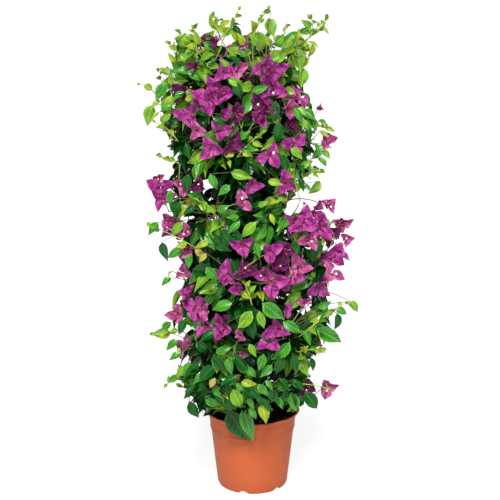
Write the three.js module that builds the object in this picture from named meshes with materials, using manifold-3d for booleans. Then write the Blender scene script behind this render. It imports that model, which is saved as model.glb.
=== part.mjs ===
// A potted bougainvillea bush, trained as a tall column on several canes.
// Millimetres, +Z up. The origin is the middle of the pot's flat underside.
// The front of the bush faces -Y, and azimuths run from +X towards +Y.
import * as THREE from "three";
import { mergeVertices } from "three/addons/utils/BufferGeometryUtils.js";
import Module from "manifold-3d";

const wasm = await Module();
wasm.setup();

// Clearance between neighbouring pieces
const GAP = 0.3;
// Least distance that a twig or leaf keeps from limbs and from the edge of its mass's space
const KEEP_OFF = 0.6;
const GOLDEN_TURN = THREE.MathUtils.degToRad(137.5);
const UP = new THREE.Vector3(0, 0, 1);

// The pot: a nursery pot of soft plastic with a banded shoulder and a flared lip
const POT = {
  height: 162,
  footRadius: 66,
  shoulderRadius: 84.3,
  shoulderHeight: 123,
  bandTopRadius: 88.3,
  lipHeight: 11,
  lipRadius: 95.5,
  wall: 1.8,
  floor: 5,
  sides: 28,
};
const DRAIN = { count: 6, firstAzimuth: 254.7, width: 20, height: 4, inner: 52, holeRadius: 4 };

// The potting soil, level round the stem and a little lower at the wall
const SOIL = { top: 150, edge: 146, levelRadius: 26 };

// The short main stem, from the soil to its fork
const STEM = { height: 36, buried: 6, footRadius: 17, radius: 10.5, headRadius: 12.5, lean: 5, sides: 10 };

// The canes that rise from the fork, spread round the crown's own axis
const CANES = { count: 5, firstAzimuth: 250, spread: 40, radius: 5.4, tipRadius: 2, sides: 5, steps: 9 };
const CANE_TOPS = [852, 822, 800, 838, 812];

// The crown leans to the left as it rises
const LEAN = { start: 330, length: 430, shift: -38 };

// The crown's outline seen from the front: how far its leaves reach to the left, to the right and in depth
const OUTLINE = [
  { height: 100, left: 96, right: 92, depth: 116 },
  { height: 177, left: 132, right: 128, depth: 140 },
  { height: 285, left: 170, right: 148, depth: 165 },
  { height: 390, left: 176, right: 172, depth: 172 },
  { height: 494, left: 190, right: 178, depth: 176 },
  { height: 596, left: 208, right: 150, depth: 176 },
  { height: 696, left: 176, right: 138, depth: 168 },
  { height: 794, left: 205, right: 116, depth: 160 },
  { height: 891, left: 166, right: 122, depth: 140 },
  { height: 940, left: 150, right: 90, depth: 110 },
];

// Tiers of foliage masses, five round each tier from the first azimuth.
// reach is how far each mass's stem tip stands from the crown's axis, rise how far it stands above the
// mass's middle, and drop how far the stem's root lies below that middle.
const PER_TIER = 5;
const TIERS = [
  { name: "skirt", height: 214, azimuth: 262, rise: -12, drop: 8, reach: 104, blossoms: [0, 1, 1, 1, 0] },
  { name: "low", height: 330, azimuth: 236, rise: 12, drop: 74, reach: 118, blossoms: [4, 3, 1, 2, 4] },
  { name: "middle", height: 455, azimuth: 266, rise: 14, drop: 78, reach: 124, blossoms: [5, 5, 3, 3, 3] },
  { name: "waist", height: 580, azimuth: 238, rise: 16, drop: 80, reach: 120, blossoms: [2, 4, 3, 3, 5] },
  { name: "shoulder", height: 700, azimuth: 268, rise: 20, drop: 84, reach: 112, blossoms: [5, 3, 2, 3, 4] },
  { name: "crown", height: 815, azimuth: 234, rise: 36, drop: 92, reach: 100, blossoms: [5, 5, 2, 3, 2] },
];
// A mass's middle stands this share of the way out to its stem's tip
const MIDDLE_SHARE = 0.84;

// Long shoots that stand out of the outline: the mass each springs from, and where its wood ends
const SHOOTS = [
  { mass: "crown_1", end: [-146, -48, 926], blossoms: 0 },
  { mass: "crown_1", end: [-42, -46, 932], blossoms: 0 },
  { mass: "crown_2", end: [24, -30, 936], blossoms: 0 },
  { mass: "crown_3", end: [120, 12, 922], blossoms: 0 },
  { mass: "crown_4", end: [-84, 40, 920], blossoms: 0 },
  { mass: "crown_5", end: [-184, 20, 812], blossoms: 0 },
  { mass: "shoulder_5", end: [-184, -22, 768], blossoms: 0 },
  { mass: "shoulder_3", end: [122, 4, 722], blossoms: 1 },
  { mass: "waist_3", end: [164, 4, 540], blossoms: 1 },
  { mass: "low_3", end: [170, 6, 366], blossoms: 0 },
  { mass: "low_5", end: [-166, -14, 316], blossoms: 0 },
  { mass: "skirt_2", end: [134, -34, 222], blossoms: 1 },
];

// Twigs, leaves and blossoms. A leaf here stands for about two of the plant's own.
const MASS_STEM = { radius: 3, tipRadius: 2.1, sides: 4, steps: 3 };
const TWIG = { count: 5, length: 56, spread: 10, opening: 60, radius: 1.5, sides: 3, tries: 5 };
const SHOOT = { radius: 1.7, tipRadius: 1, sides: 3, steps: 3, leaves: 4, leafScale: 0.62 };
const LEAF = { length: 76, width: 45, thickness: 2.4, widest: 0.42, fold: 0.08, droop: 0.12, sunk: 0.2 };
const LEAVES = { perTwig: 4, perStem: 2, tries: 9, opening: 0.95, shrink: 0.95, apart: 0.4 };
const BRACT = { length: 46, opening: 42, thickness: 2, sunk: 0.4 };

const COLOURS = {
  pot: [0xd9673d, 0.5],
  soil: [0x2b1d14, 0.95],
  bark: [0x6f5a3c, 0.85],
  foliage: [0x2f7a2a, 0.45],
  bloom: [0x9c2f8f, 0.6],
};

// Seeded draws, the same on each run
function seededDraws(seed) {
  let state = seed;
  return (low = 0, high = 1) => {
    state = (state * 48271) % 2147483647;
    return low + ((high - low) * state) / 2147483647;
  };
}

// The unit vector at an azimuth in degrees
function outward(azimuth) {
  const turn = THREE.MathUtils.degToRad(azimuth);
  return new THREE.Vector3(Math.cos(turn), Math.sin(turn), 0);
}

// The crown's axis at a height
function crownAxis(z) {
  return new THREE.Vector3(LEAN.shift * THREE.MathUtils.smoothstep(z, LEAN.start, LEAN.start + LEAN.length), 0, z);
}

// A geometry with its seams and corners closed, and nothing kept but its places
function welded(geometry) {
  const bare = new THREE.BufferGeometry();
  bare.setAttribute("position", geometry.getAttribute("position"));
  if (geometry.index) bare.setIndex(geometry.index);
  return mergeVertices(bare, 1e-4);
}

// A closed geometry, welded before it was bent or moved, as a solid
function solidOf(geometry) {
  const vertProperties = new Float32Array(geometry.attributes.position.array);
  const triVerts = new Uint32Array(geometry.index.array);
  return new wasm.Manifold(new wasm.Mesh({ numProp: 3, vertProperties, triVerts }));
}

// A solid as a geometry
function geometryOf(solid) {
  const mesh = solid.getMesh();
  const geometry = new THREE.BufferGeometry();
  geometry.setAttribute("position", new THREE.BufferAttribute(new Float32Array(mesh.vertProperties), 3));
  geometry.setIndex(new THREE.BufferAttribute(new Uint32Array(mesh.triVerts), 1));
  geometry.computeVertexNormals();
  return geometry;
}

// A welded geometry with each vertex moved by a function of its place
function reshaped(geometry, place) {
  const shape = welded(geometry);
  const position = shape.getAttribute("position");
  const point = new THREE.Vector3();
  for (let i = 0; i < position.count; i++) {
    place(point.fromBufferAttribute(position, i));
    position.setXYZ(i, point.x, point.y, point.z);
  }
  return shape;
}

// A tapering limb along a curve: a cylinder whose rings are laid along it.
// radiusAt gives the radius from the share of the length and the angle round the limb.
function limb(curve, radiusAt, sides, steps) {
  const frames = curve.computeFrenetFrames(steps, false);
  const geometry = new THREE.CylinderGeometry(1, 1, steps, sides, steps);
  return reshaped(geometry, (p) => {
    const ring = Math.round(p.y + steps / 2);
    const along = ring / steps;
    const angle = Math.atan2(p.z, p.x);
    const radius = radiusAt(along, angle) * Math.hypot(p.x, p.z);
    const [normal, binormal] = [frames.normals[ring], frames.binormals[ring]];
    p.copy(curve.getPoint(along));
    p.addScaledVector(normal, -radius * Math.cos(angle));
    p.addScaledVector(binormal, radius * Math.sin(angle));
  });
}

function taper(from, to) {
  return (along) => THREE.MathUtils.lerp(from, to, along);
}

// A leaf of eight faces: root, tip, two sides and its upper and lower middle, folded up along its rib
function makeLeaf(root, along, face, scale) {
  const direction = along.clone().normalize();
  const side = new THREE.Vector3().crossVectors(face, direction).normalize();
  const normal = new THREE.Vector3().crossVectors(direction, side);
  const length = LEAF.length * scale;
  return reshaped(new THREE.OctahedronGeometry(1), (p) => {
    const reach = p.x > 0.5 ? length : p.x < -0.5 ? -LEAF.sunk : LEAF.widest * length;
    const across = (p.y * LEAF.width * scale) / 2;
    const droop = p.x > 0.5 ? LEAF.droop * length : 0;
    const height = (p.z * LEAF.thickness) / 2 + Math.abs(p.y) * LEAF.fold * length - droop;
    p.copy(root).addScaledVector(direction, reach).addScaledVector(side, across).addScaledVector(normal, height);
  });
}

// A blossom of three bracts that open like a lantern: a three-sided cone with a hollow base
function makeBlossom(root, axis, turn, scale) {
  const aim = axis.clone().normalize();
  const side = new THREE.Vector3().crossVectors(aim, Math.abs(aim.z) > 0.9 ? outward(0) : UP).normalize();
  const over = new THREE.Vector3().crossVectors(aim, side);
  const opening = THREE.MathUtils.degToRad(BRACT.opening);
  return reshaped(new THREE.ConeGeometry(1, 1, 3), (p) => {
    const atTip = Math.hypot(p.x, p.z) > 0.5;
    const angle = Math.atan2(p.z, p.x) + turn;
    const away = atTip ? BRACT.length * scale * Math.sin(opening) : 0;
    const middle = p.y > 0 ? -BRACT.sunk : BRACT.thickness;
    p.copy(root).addScaledVector(aim, atTip ? BRACT.length * scale * Math.cos(opening) : middle);
    p.addScaledVector(side, -away * Math.cos(angle)).addScaledVector(over, -away * Math.sin(angle));
  });
}

// A straight twig that tapers to a point
function makeTwig(start, end) {
  const along = new THREE.Vector3().subVectors(end, start);
  const cone = welded(new THREE.ConeGeometry(TWIG.radius, along.length(), TWIG.sides));
  cone.translate(0, along.length() / 2, 0);
  cone.applyQuaternion(new THREE.Quaternion().setFromUnitVectors(new THREE.Vector3(0, 1, 0), along.normalize()));
  return cone.translate(start.x, start.y, start.z);
}

// The largest body of a solid: scraps and sealed hollows go
function mainBody(solid) {
  return solid.decompose().reduce((best, body) => (body.volume() > best.volume() ? body : best));
}

function points(geometry) {
  const position = geometry.getAttribute("position");
  return Array.from({ length: position.count }, (_, i) => new THREE.Vector3().fromBufferAttribute(position, i));
}

// The pot, turned about its axis, with drain recesses and holes round its foot
function makePot() {
  const { height, footRadius, shoulderRadius, shoulderHeight, bandTopRadius, lipHeight, lipRadius, wall, floor } = POT;
  const lipFoot = height - lipHeight;
  const profile = [
    [0, 0],
    [footRadius, 0],
    [footRadius + 4.6, 3.5],
    [footRadius + 5.6, 9],
    [shoulderRadius, shoulderHeight],
    [shoulderRadius + 1.2, shoulderHeight + 1.5],
    [bandTopRadius, lipFoot],
    [lipRadius, height - 2],
    [lipRadius - 0.8, height],
    [lipRadius - 2.6, height],
    [bandTopRadius - wall + 0.8, lipFoot],
    [shoulderRadius - wall, shoulderHeight],
    [footRadius + 5.6 - wall, floor + 5],
    [0, floor],
  ].map(([r, z]) => new THREE.Vector2(r, z));
  const body = solidOf(welded(new THREE.LatheGeometry(profile, POT.sides)).rotateX(Math.PI / 2));
  const recessLength = footRadius + 12 - DRAIN.inner;
  const cuts = Array.from({ length: DRAIN.count }, (_, i) => {
    const azimuth = THREE.MathUtils.degToRad(DRAIN.firstAzimuth + (360 * i) / DRAIN.count);
    const arch = welded(new THREE.CylinderGeometry(1, 1, recessLength, 8));
    arch.rotateZ(Math.PI / 2).scale(1, DRAIN.width / 2, DRAIN.height);
    arch.translate(DRAIN.inner + recessLength / 2, 0, 0).rotateZ(azimuth);
    const hole = welded(new THREE.CylinderGeometry(DRAIN.holeRadius, DRAIN.holeRadius, 4 * floor, 6));
    hole.rotateX(Math.PI / 2).translate(DRAIN.inner + 2 * DRAIN.holeRadius, 0, 0).rotateZ(azimuth);
    return [solidOf(arch), solidOf(hole)];
  });
  return body.subtract(wasm.Manifold.union(cuts.flat()));
}

// The soil that fills the pot to just under its lip
function makeSoil() {
  const { footRadius, shoulderRadius, shoulderHeight, bandTopRadius, lipHeight, wall, floor } = POT;
  const share = (SOIL.edge - shoulderHeight) / (POT.height - lipHeight - shoulderHeight);
  const edgeRadius = THREE.MathUtils.lerp(shoulderRadius - wall, bandTopRadius - wall + 0.8, share);
  const profile = [
    [0, floor + GAP],
    [footRadius + 5.6 - wall - GAP, floor + 5 + GAP],
    [shoulderRadius - wall - GAP, shoulderHeight],
    [edgeRadius - GAP, SOIL.edge],
    [SOIL.levelRadius, SOIL.top],
    [0, SOIL.top],
  ].map(([r, z]) => new THREE.Vector2(r, z));
  return solidOf(welded(new THREE.LatheGeometry(profile, POT.sides)).rotateX(Math.PI / 2));
}

// The main stem, with a lobed flare at the soil and a knuckle at the fork. extra widens it all over.
function makeStem(extra = 0) {
  const foot = SOIL.top + GAP - extra;
  const curve = new THREE.QuadraticBezierCurve3(
    new THREE.Vector3(-STEM.lean * 0.4, 0, foot - STEM.buried),
    new THREE.Vector3(STEM.lean, 0, foot + STEM.height * 0.4),
    new THREE.Vector3(STEM.lean * 0.4, 0, SOIL.top + STEM.height + extra),
  );
  const radiusAt = (along, angle) => {
    const flare = (STEM.footRadius - STEM.radius) * Math.pow(1 - along, 4);
    const knuckle = (STEM.headRadius - STEM.radius) * THREE.MathUtils.smoothstep(along, 0.55, 0.9);
    const lobes = 1 + 0.14 * Math.pow(1 - along, 3) * Math.cos(3 * angle + 0.6);
    return (STEM.radius + flare) * lobes + knuckle - (along > 0.99 ? 3 : 0) + extra;
  };
  return solidOf(limb(curve, radiusAt, STEM.sides, 7)).trimByPlane([0, 0, 1], foot);
}

// The path of one cane, from inside the stem's head, out round the crown's axis and up
function canePath(index) {
  const azimuth = CANES.firstAzimuth + (360 * index) / CANES.count;
  const draw = seededDraws(400 + index);
  const top = CANE_TOPS[index];
  const start = SOIL.top + STEM.height - 8;
  const path = [new THREE.Vector3(STEM.lean * 0.4, 0, start).addScaledVector(outward(azimuth), 4)];
  const bends = 6;
  for (let i = 1; i <= bends; i++) {
    const z = start + (top - start) * (i / bends);
    const out = CANES.spread * THREE.MathUtils.smoothstep(i / bends, -0.1, 0.32) + draw(-4, 4);
    path.push(crownAxis(z).addScaledVector(outward(azimuth + draw(-9, 9)), out));
  }
  return new THREE.CatmullRomCurve3(path);
}

// One cane. extra widens it all over.
function makeCane(path, extra = 0) {
  return solidOf(limb(path, taper(CANES.radius + extra, CANES.tipRadius + extra), CANES.sides, CANES.steps));
}

// The point of a cane's path at a height
function caneAt(path, z) {
  let [low, high] = [0, 1];
  for (let i = 0; i < 30; i++) {
    const middle = (low + high) / 2;
    if (path.getPoint(middle).z < z) low = middle;
    else high = middle;
  }
  return path.getPoint(low);
}

// The layout of one mass: its middle, and the path of its stem from the nearest cane to its tip
function layOut(tier, index, number, canes) {
  const azimuth = tier.azimuth + (360 * index) / PER_TIER;
  const away = outward(azimuth);
  const middle = crownAxis(tier.height).addScaledVector(away, tier.reach * MIDDLE_SHARE);
  const turns = canes.map((_, i) => {
    const turn = azimuth - (CANES.firstAzimuth + (360 * i) / CANES.count);
    return Math.abs(THREE.MathUtils.euclideanModulo(turn + 180, 360) - 180);
  });
  const rootHeight = Math.max(tier.height - tier.drop, SOIL.top + STEM.height + 14);
  const root = caneAt(canes[turns.indexOf(Math.min(...turns))], rootHeight);
  const tip = crownAxis(tier.height + tier.rise).addScaledVector(away, tier.reach);
  const bendHeight = THREE.MathUtils.lerp(rootHeight, tip.z, 0.72) + 8;
  const bend = crownAxis(bendHeight).addScaledVector(away, tier.reach * 0.66);
  const path = new THREE.QuadraticBezierCurve3(root, bend, tip);
  const stem = solidOf(limb(path, taper(MASS_STEM.radius, MASS_STEM.tipRadius), MASS_STEM.sides, MASS_STEM.steps));
  const name = tier.name + "_" + (index + 1);
  return { name, away, middle, path, stem, drooping: tier.rise < 0, blossoms: tier.blossoms[index], number };
}

// The direction that leaves a tangent by an opening, turned about it from the level side
function branching(tangent, turn, opening) {
  const side = new THREE.Vector3().crossVectors(tangent, UP).normalize();
  const over = new THREE.Vector3().crossVectors(side, tangent);
  const direction = tangent.clone().multiplyScalar(Math.cos(opening));
  direction.addScaledVector(side, Math.cos(turn) * Math.sin(opening));
  return direction.addScaledVector(over, Math.sin(turn) * Math.sin(opening));
}

// The crown's half width at a height, on one side of its axis or in depth
function halfWidth(z, side) {
  const next = OUTLINE.findIndex((row) => row.height > z);
  const [above, below] = next < 0 ? [OUTLINE.at(-1), OUTLINE.at(-1)] : [OUTLINE[next], OUTLINE[Math.max(next - 1, 0)]];
  const share = above === below ? 0 : (z - below.height) / (above.height - below.height);
  return THREE.MathUtils.lerp(below[side], above[side], share);
}

// True if a point lies within the crown's outline
function inOutline(p) {
  const axis = crownAxis(p.z).x;
  const width = p.x < axis ? halfWidth(p.z, "left") + axis : halfWidth(p.z, "right") - axis;
  return Math.hypot((p.x - axis) / width, p.y / halfWidth(p.z, "depth")) < 1 && p.z < OUTLINE.at(-1).height;
}

// Grows one mass inside its own space, clear of the limbs and of the other masses' stems
class Growth {
  constructor(mass, masses, limbs) {
    this.mass = mass;
    this.others = masses.filter((other) => other !== mass);
    this.near = this.others.filter((other) => other.middle.distanceTo(mass.middle) < 340);
    this.limbs = limbs;
    this.draw = seededDraws(1000 + 77 * mass.number);
    this.wood = [mass.stem];
    this.leaves = [];
    this.toFlower = mass.blossoms;
  }

  // True if a shape lies nearer this mass's middle than any other mass's, and clear of every limb
  hasRoom(shape, solid) {
    const inSpace = this.others.every((other) => {
      const apart = this.mass.middle.distanceTo(other.middle);
      return points(shape).every(
        (p) => (p.distanceToSquared(other.middle) - p.distanceToSquared(this.mass.middle)) / (2 * apart) > KEEP_OFF,
      );
    });
    if (!inSpace || solid.minGap(this.limbs, 2 * KEEP_OFF) < KEEP_OFF) return false;
    return this.near.every((other) => solid.minGap(other.stem, 2 * KEEP_OFF) >= KEEP_OFF);
  }

  // Adds a leaf or a blossom if it has room and crosses no other
  addBlade(shape, free) {
    if (!free && !points(shape).every(inOutline)) return false;
    const solid = solidOf(shape);
    const crosses = this.leaves.some((leaf) => leaf.minGap(solid, 1) < LEAVES.apart);
    if (crosses || !this.hasRoom(shape, solid)) return false;
    this.leaves.push(solid);
    return true;
  }

  // Adds a leaf, turned on and made smaller until it has room
  addLeaf(root, tangent, turn, opening, scale, free) {
    const face = this.mass.away.clone().addScaledVector(UP, 0.45);
    for (let n = 0; n < LEAVES.tries; n++) {
      const along = branching(tangent, turn + n * GOLDEN_TURN, n % 2 ? opening * 0.7 : opening);
      along.addScaledVector(this.mass.away, 0.15).addScaledVector(UP, free ? 0 : -0.3);
      if (this.addBlade(makeLeaf(root, along, face, scale * Math.pow(LEAVES.shrink, n)), free)) return;
    }
  }

  addBlossom(root, tangent, lift, free) {
    const axis = tangent.clone().addScaledVector(this.mass.away, 0.8).addScaledVector(UP, lift);
    return this.addBlade(makeBlossom(root, axis, this.draw(0, 2), this.draw(0.9, 1.08)), free);
  }

  // Clothes a twig: blossoms at its end if it flowers, and leaves set alternately along it
  clothe(path, [first, last], count, flowers, scale, free) {
    let opened = 0;
    for (let i = 0; i < flowers; i++) {
      const share = i ? 0.62 : 0.9;
      opened += this.addBlossom(path.getPoint(share), path.getTangent(share), i ? -0.6 : 0.2, free) ? 1 : 0;
    }
    for (let i = 0; i < count; i++) {
      const atTip = i === count - 1 && last > 0.5;
      if (atTip && opened) continue;
      const share = first + ((last - first) * i) / (count - 1);
      const opening = LEAVES.opening * (atTip ? 0.4 : 1);
      const turn = GOLDEN_TURN * i + this.draw(0, 2);
      this.addLeaf(path.getPoint(share), path.getTangent(share), turn, opening, scale * this.draw(0.9, 1.06), free);
    }
    return opened;
  }

  growShoot(shoot) {
    const start = this.mass.path.getPoint(this.draw(0.72, 0.8));
    const end = new THREE.Vector3(...shoot.end);
    const bend = start.clone().lerp(end, 0.5).addScaledVector(this.mass.away, 10);
    const path = new THREE.QuadraticBezierCurve3(start, bend, end);
    const shape = limb(path, taper(SHOOT.radius, SHOOT.tipRadius), SHOOT.sides, SHOOT.steps);
    const solid = solidOf(shape);
    if (!this.hasRoom(shape, solid)) return;
    this.wood.push(solid);
    this.clothe(path, [0.3, 0.92], SHOOT.leaves, shoot.blossoms, SHOOT.leafScale, true);
  }

  // Each twig leaves the stem on its own side, the last of them at its tip
  growTwig(index) {
    const share = 0.42 + (0.58 * index) / (TWIG.count - 1);
    const [start, tangent] = [this.mass.path.getPoint(share), this.mass.path.getTangent(share)];
    const length = TWIG.length + this.draw(-TWIG.spread, TWIG.spread);
    const opening = THREE.MathUtils.degToRad(TWIG.opening) * (index === TWIG.count - 1 ? 0.25 : 1);
    let turn = GOLDEN_TURN * index + this.draw(-0.4, 0.4);
    for (let n = 0; n < TWIG.tries; n++) {
      const direction = branching(tangent, turn, opening).addScaledVector(UP, this.mass.drooping ? -0.25 : 0.12);
      const end = start.clone().addScaledVector(direction, length);
      const shape = makeTwig(start, end);
      const solid = solidOf(shape);
      turn += GOLDEN_TURN;
      if (!this.hasRoom(shape, solid)) continue;
      this.wood.push(solid);
      const flowers = Math.min(this.toFlower, 2);
      const path = new THREE.LineCurve3(start, end);
      this.toFlower -= this.clothe(path, [0.25, 0.82], LEAVES.perTwig, flowers, 1, false);
      return;
    }
  }

  // The whole mass as one body, its stem's root cut clear of the canes
  grow(limbRoom) {
    SHOOTS.filter((shoot) => shoot.mass === this.mass.name).forEach((shoot) => this.growShoot(shoot));
    for (let i = TWIG.count - 1; i >= 0; i--) this.growTwig(i);
    this.clothe(this.mass.path, [0.22, 0.36], LEAVES.perStem, 0, 1, false);
    return mainBody(wasm.Manifold.union([...this.wood, ...this.leaves]).subtract(limbRoom));
  }
}

function named(name, solid, [colour, roughness]) {
  const mesh = new THREE.Mesh(geometryOf(solid), new THREE.MeshStandardMaterial({ color: colour, roughness }));
  mesh.name = name;
  return mesh;
}

function makeBush() {
  const bush = new THREE.Group();
  const pot = makePot();
  const soil = makeSoil();
  const stem = makeStem();
  const paths = Array.from({ length: CANES.count }, (_, i) => canePath(i));
  const stemRoom = makeStem(GAP);
  const canes = [];
  for (const path of paths) {
    const others = canes.map((_, i) => makeCane(paths[i], GAP));
    canes.push(mainBody(makeCane(path).subtract(wasm.Manifold.union([stemRoom, ...others]))));
  }
  bush.add(named("pot", pot, COLOURS.pot));
  bush.add(named("potting_soil", soil, COLOURS.soil));
  bush.add(named("main_stem", stem, COLOURS.bark));
  canes.forEach((cane, i) => bush.add(named("cane_" + (i + 1), cane, COLOURS.bark)));
  const limbRoom = wasm.Manifold.union([stemRoom, ...paths.map((path) => makeCane(path, GAP))]);
  const limbs = wasm.Manifold.union([pot, soil, stem, ...canes]);
  const masses = TIERS.flatMap((tier, t) =>
    Array.from({ length: PER_TIER }, (_, i) => layOut(tier, i, t * PER_TIER + i, paths)),
  );
  for (const mass of masses) {
    const colour = mass.blossoms > 3 ? COLOURS.bloom : COLOURS.foliage;
    bush.add(named("foliage_" + mass.name, new Growth(mass, masses, limbs).grow(limbRoom), colour));
  }
  return bush;
}

export default makeBush();
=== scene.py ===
"""A potted bougainvillea bush: pot, soil, bark, twigs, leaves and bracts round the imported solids.

Lengths are millimetres until a mesh is made. The front of the bush faces -Y, and azimuths
run from +X towards +Y.
"""

import logging
import math
from dataclasses import dataclass, field
from enum import Enum, IntEnum
from itertools import product
from typing import Callable, Optional, Union

import bmesh
import bpy
import numpy as np
from mathutils import Matrix, Vector, noise


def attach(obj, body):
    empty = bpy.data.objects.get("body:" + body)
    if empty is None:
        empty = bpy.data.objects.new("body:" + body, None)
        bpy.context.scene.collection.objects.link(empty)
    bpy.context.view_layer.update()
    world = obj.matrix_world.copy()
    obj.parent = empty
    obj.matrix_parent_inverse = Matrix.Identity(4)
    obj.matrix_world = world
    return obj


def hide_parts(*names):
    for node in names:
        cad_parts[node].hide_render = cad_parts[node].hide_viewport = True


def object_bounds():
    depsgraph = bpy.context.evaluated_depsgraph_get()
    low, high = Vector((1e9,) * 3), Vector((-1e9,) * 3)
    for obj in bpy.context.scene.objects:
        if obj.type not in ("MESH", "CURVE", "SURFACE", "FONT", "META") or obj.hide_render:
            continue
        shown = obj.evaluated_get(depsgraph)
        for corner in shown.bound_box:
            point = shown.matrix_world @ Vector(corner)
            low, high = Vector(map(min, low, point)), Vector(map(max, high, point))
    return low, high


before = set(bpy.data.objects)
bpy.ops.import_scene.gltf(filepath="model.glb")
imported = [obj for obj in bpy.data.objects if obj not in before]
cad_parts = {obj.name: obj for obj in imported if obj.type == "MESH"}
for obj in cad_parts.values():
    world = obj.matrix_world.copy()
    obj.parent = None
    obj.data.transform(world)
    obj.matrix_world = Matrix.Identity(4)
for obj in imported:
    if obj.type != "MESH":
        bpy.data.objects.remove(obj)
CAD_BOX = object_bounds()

MM = 0.001
UP = Vector((0, 0, 1))
GOLDEN_TURN = math.radians(137.5)
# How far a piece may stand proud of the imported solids, in millimetres
PROUD = 14.0
BAKE_MAP = "OFBake"

Colour = tuple[float, float, float, float]
Place = tuple[float, float, float]
Section = tuple[tuple[float, float], ...]

log = logging.getLogger("bougainvillea")


# Small sums

def shade(red: int, green: int, blue: int) -> Colour:
    """Turns a colour in everyday 0 to 255 steps into the linear one that shaders take.

    Args:
        red: The red step.
        green: The green step.
        blue: The blue step.

    Returns:
        The linear colour with full opacity.
    """
    parts = [step / 255 for step in (red, green, blue)]
    linear = [part / 12.92 if part <= 0.04045 else ((part + 0.055) / 1.055) ** 2.4 for part in parts]
    return (linear[0], linear[1], linear[2], 1.0)


def between(low: float, high: float, share: float) -> float:
    """Gives the number a share of the way from low to high."""
    return low + (high - low) * share


def ease(value: float, start: float, end: float) -> float:
    """Rises smoothly from 0 at start to 1 at end."""
    share = min(max((value - start) / (end - start), 0.0), 1.0)
    return share * share * (3 - 2 * share)


def outward(azimuth: float) -> Vector:
    """Gives the level unit vector at an azimuth in degrees."""
    return Vector((math.cos(math.radians(azimuth)), math.sin(math.radians(azimuth)), 0))


def branching(tangent: Vector, turn: float, opening: float) -> Vector:
    """Leaves a tangent by an opening, turned about it from its level side.

    Args:
        tangent: The direction of the limb at the fork.
        turn: The turn about the limb, in radians.
        opening: The angle between limb and branch, in radians.

    Returns:
        The direction of the branch, of unit length.
    """
    side = tangent.cross(UP)
    side = side.normalized() if side.length > 1e-6 else Vector((1, 0, 0))
    over = side.cross(tangent)
    spread = math.sin(opening)
    return tangent * math.cos(opening) + side * (math.cos(turn) * spread) + over * (math.sin(turn) * spread)


class Draws:
    """Seeded draws, the same on each run and the same as the solids' own."""

    def __init__(self, seed: int) -> None:
        """Starts the row of draws from a seed."""
        self.state = seed

    def __call__(self, low: float = 0.0, high: float = 1.0) -> float:
        """Draws the next number between low and high."""
        self.state = (self.state * 48271) % 2147483647
        return low + (high - low) * self.state / 2147483647

    def pick(self, weights: dict) -> object:
        """Draws one key of a table of weights.

        Args:
            weights: A weight for each key.

        Returns:
            The key drawn.
        """
        left = self(0, sum(weights.values()))
        for key, weight in weights.items():
            left -= weight
            if left <= 0:
                return key
        return key


class Seed(IntEnum):
    """Where each row of draws starts; the members of a row add their number."""

    CHIPS = 31
    GRAINS = 32
    LEAF_HOLDS = 71
    BRACT_HOLDS = 72
    SIDE_SPRAYS = 88
    FRONT_LEAVES = 99
    INNER_LEAVES = 300
    CANES = 400
    JOINTS = 900
    MASSES = 1000
    FRONT_BLOSSOMS = 5000
    SIDE_BLOSSOMS = 6000
    WANDS = 7000
    SIDE_SHOOTS = 8000


# Curves that limbs, twigs and stalks follow

class Path:
    """A curve, given by the point at each share of its run."""

    def point(self, share: float) -> Vector:
        """Gives the point at a share of the run."""
        raise NotImplementedError

    def tangent(self, share: float) -> Vector:
        """Gives the unit direction of the curve at a share of the run."""
        low, high = max(share - 1e-3, 0.0), min(share + 1e-3, 1.0)
        return (self.point(high) - self.point(low)).normalized()


@dataclass(frozen=True)
class Bow(Path):
    """A curve with one bend, from start to end."""

    start: Vector
    bend: Vector
    end: Vector

    def point(self, share: float) -> Vector:
        """Gives the point at a share of the run."""
        rest = 1 - share
        return self.start * (rest * rest) + self.bend * (2 * rest * share) + self.end * (share * share)


class Spline(Path):
    """A curve through a row of points, with the same rounding as the solids' canes."""

    def __init__(self, points: list[Vector]) -> None:
        """Keeps the points, and one more beyond each end."""
        first, last = points[0] * 2 - points[1], points[-1] * 2 - points[-2]
        self.points = [first, *points, last]

    def point(self, share: float) -> Vector:
        """Gives the point at a share of the run.

        Args:
            share: From 0 at the start to 1 at the end.

        Returns:
            The point.
        """
        spans = len(self.points) - 3
        span = min(int(share * spans), spans - 1)
        part = share * spans - span
        a, b, c, d = self.points[span:span + 4]
        before, within, after = ((q - p).length ** 0.5 for p, q in ((a, b), (b, c), (c, d)))
        leave = ((b - a) / before - (c - a) / (before + within) + (c - b) / within) * within
        arrive = ((c - b) / within - (d - b) / (within + after) + (d - c) / after) * within
        curve = b + leave * part + (c * 3 - b * 3 - leave * 2 - arrive) * part ** 2
        return curve + (b * 2 - c * 2 + leave + arrive) * part ** 3


def rings_along(path: Path, steps: int) -> list[tuple[Vector, Vector, Vector]]:
    """Lays level rings along a path without twisting them.

    Args:
        path: The curve to follow.
        steps: The number of stretches between rings.

    Returns:
        The middle, the side and the over direction of each ring.
    """
    rings = []
    side = None
    for step in range(steps + 1):
        tangent = path.tangent(step / steps)
        if side is None:
            side = tangent.orthogonal()
        side = (side - tangent * side.dot(tangent)).normalized()
        rings.append((path.point(step / steps), side, tangent.cross(side)))
    return rings


# The habit of the plant: the same sizes and the same rule as its solids

@dataclass(frozen=True)
class Tier:
    """One ring of foliage masses round the crown's axis."""

    name: str
    height: float
    azimuth: float
    rise: float
    drop: float
    reach: float


@dataclass(frozen=True)
class Girth:
    """The crown's half widths at one height."""

    height: float
    left: float
    right: float
    depth: float


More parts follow.
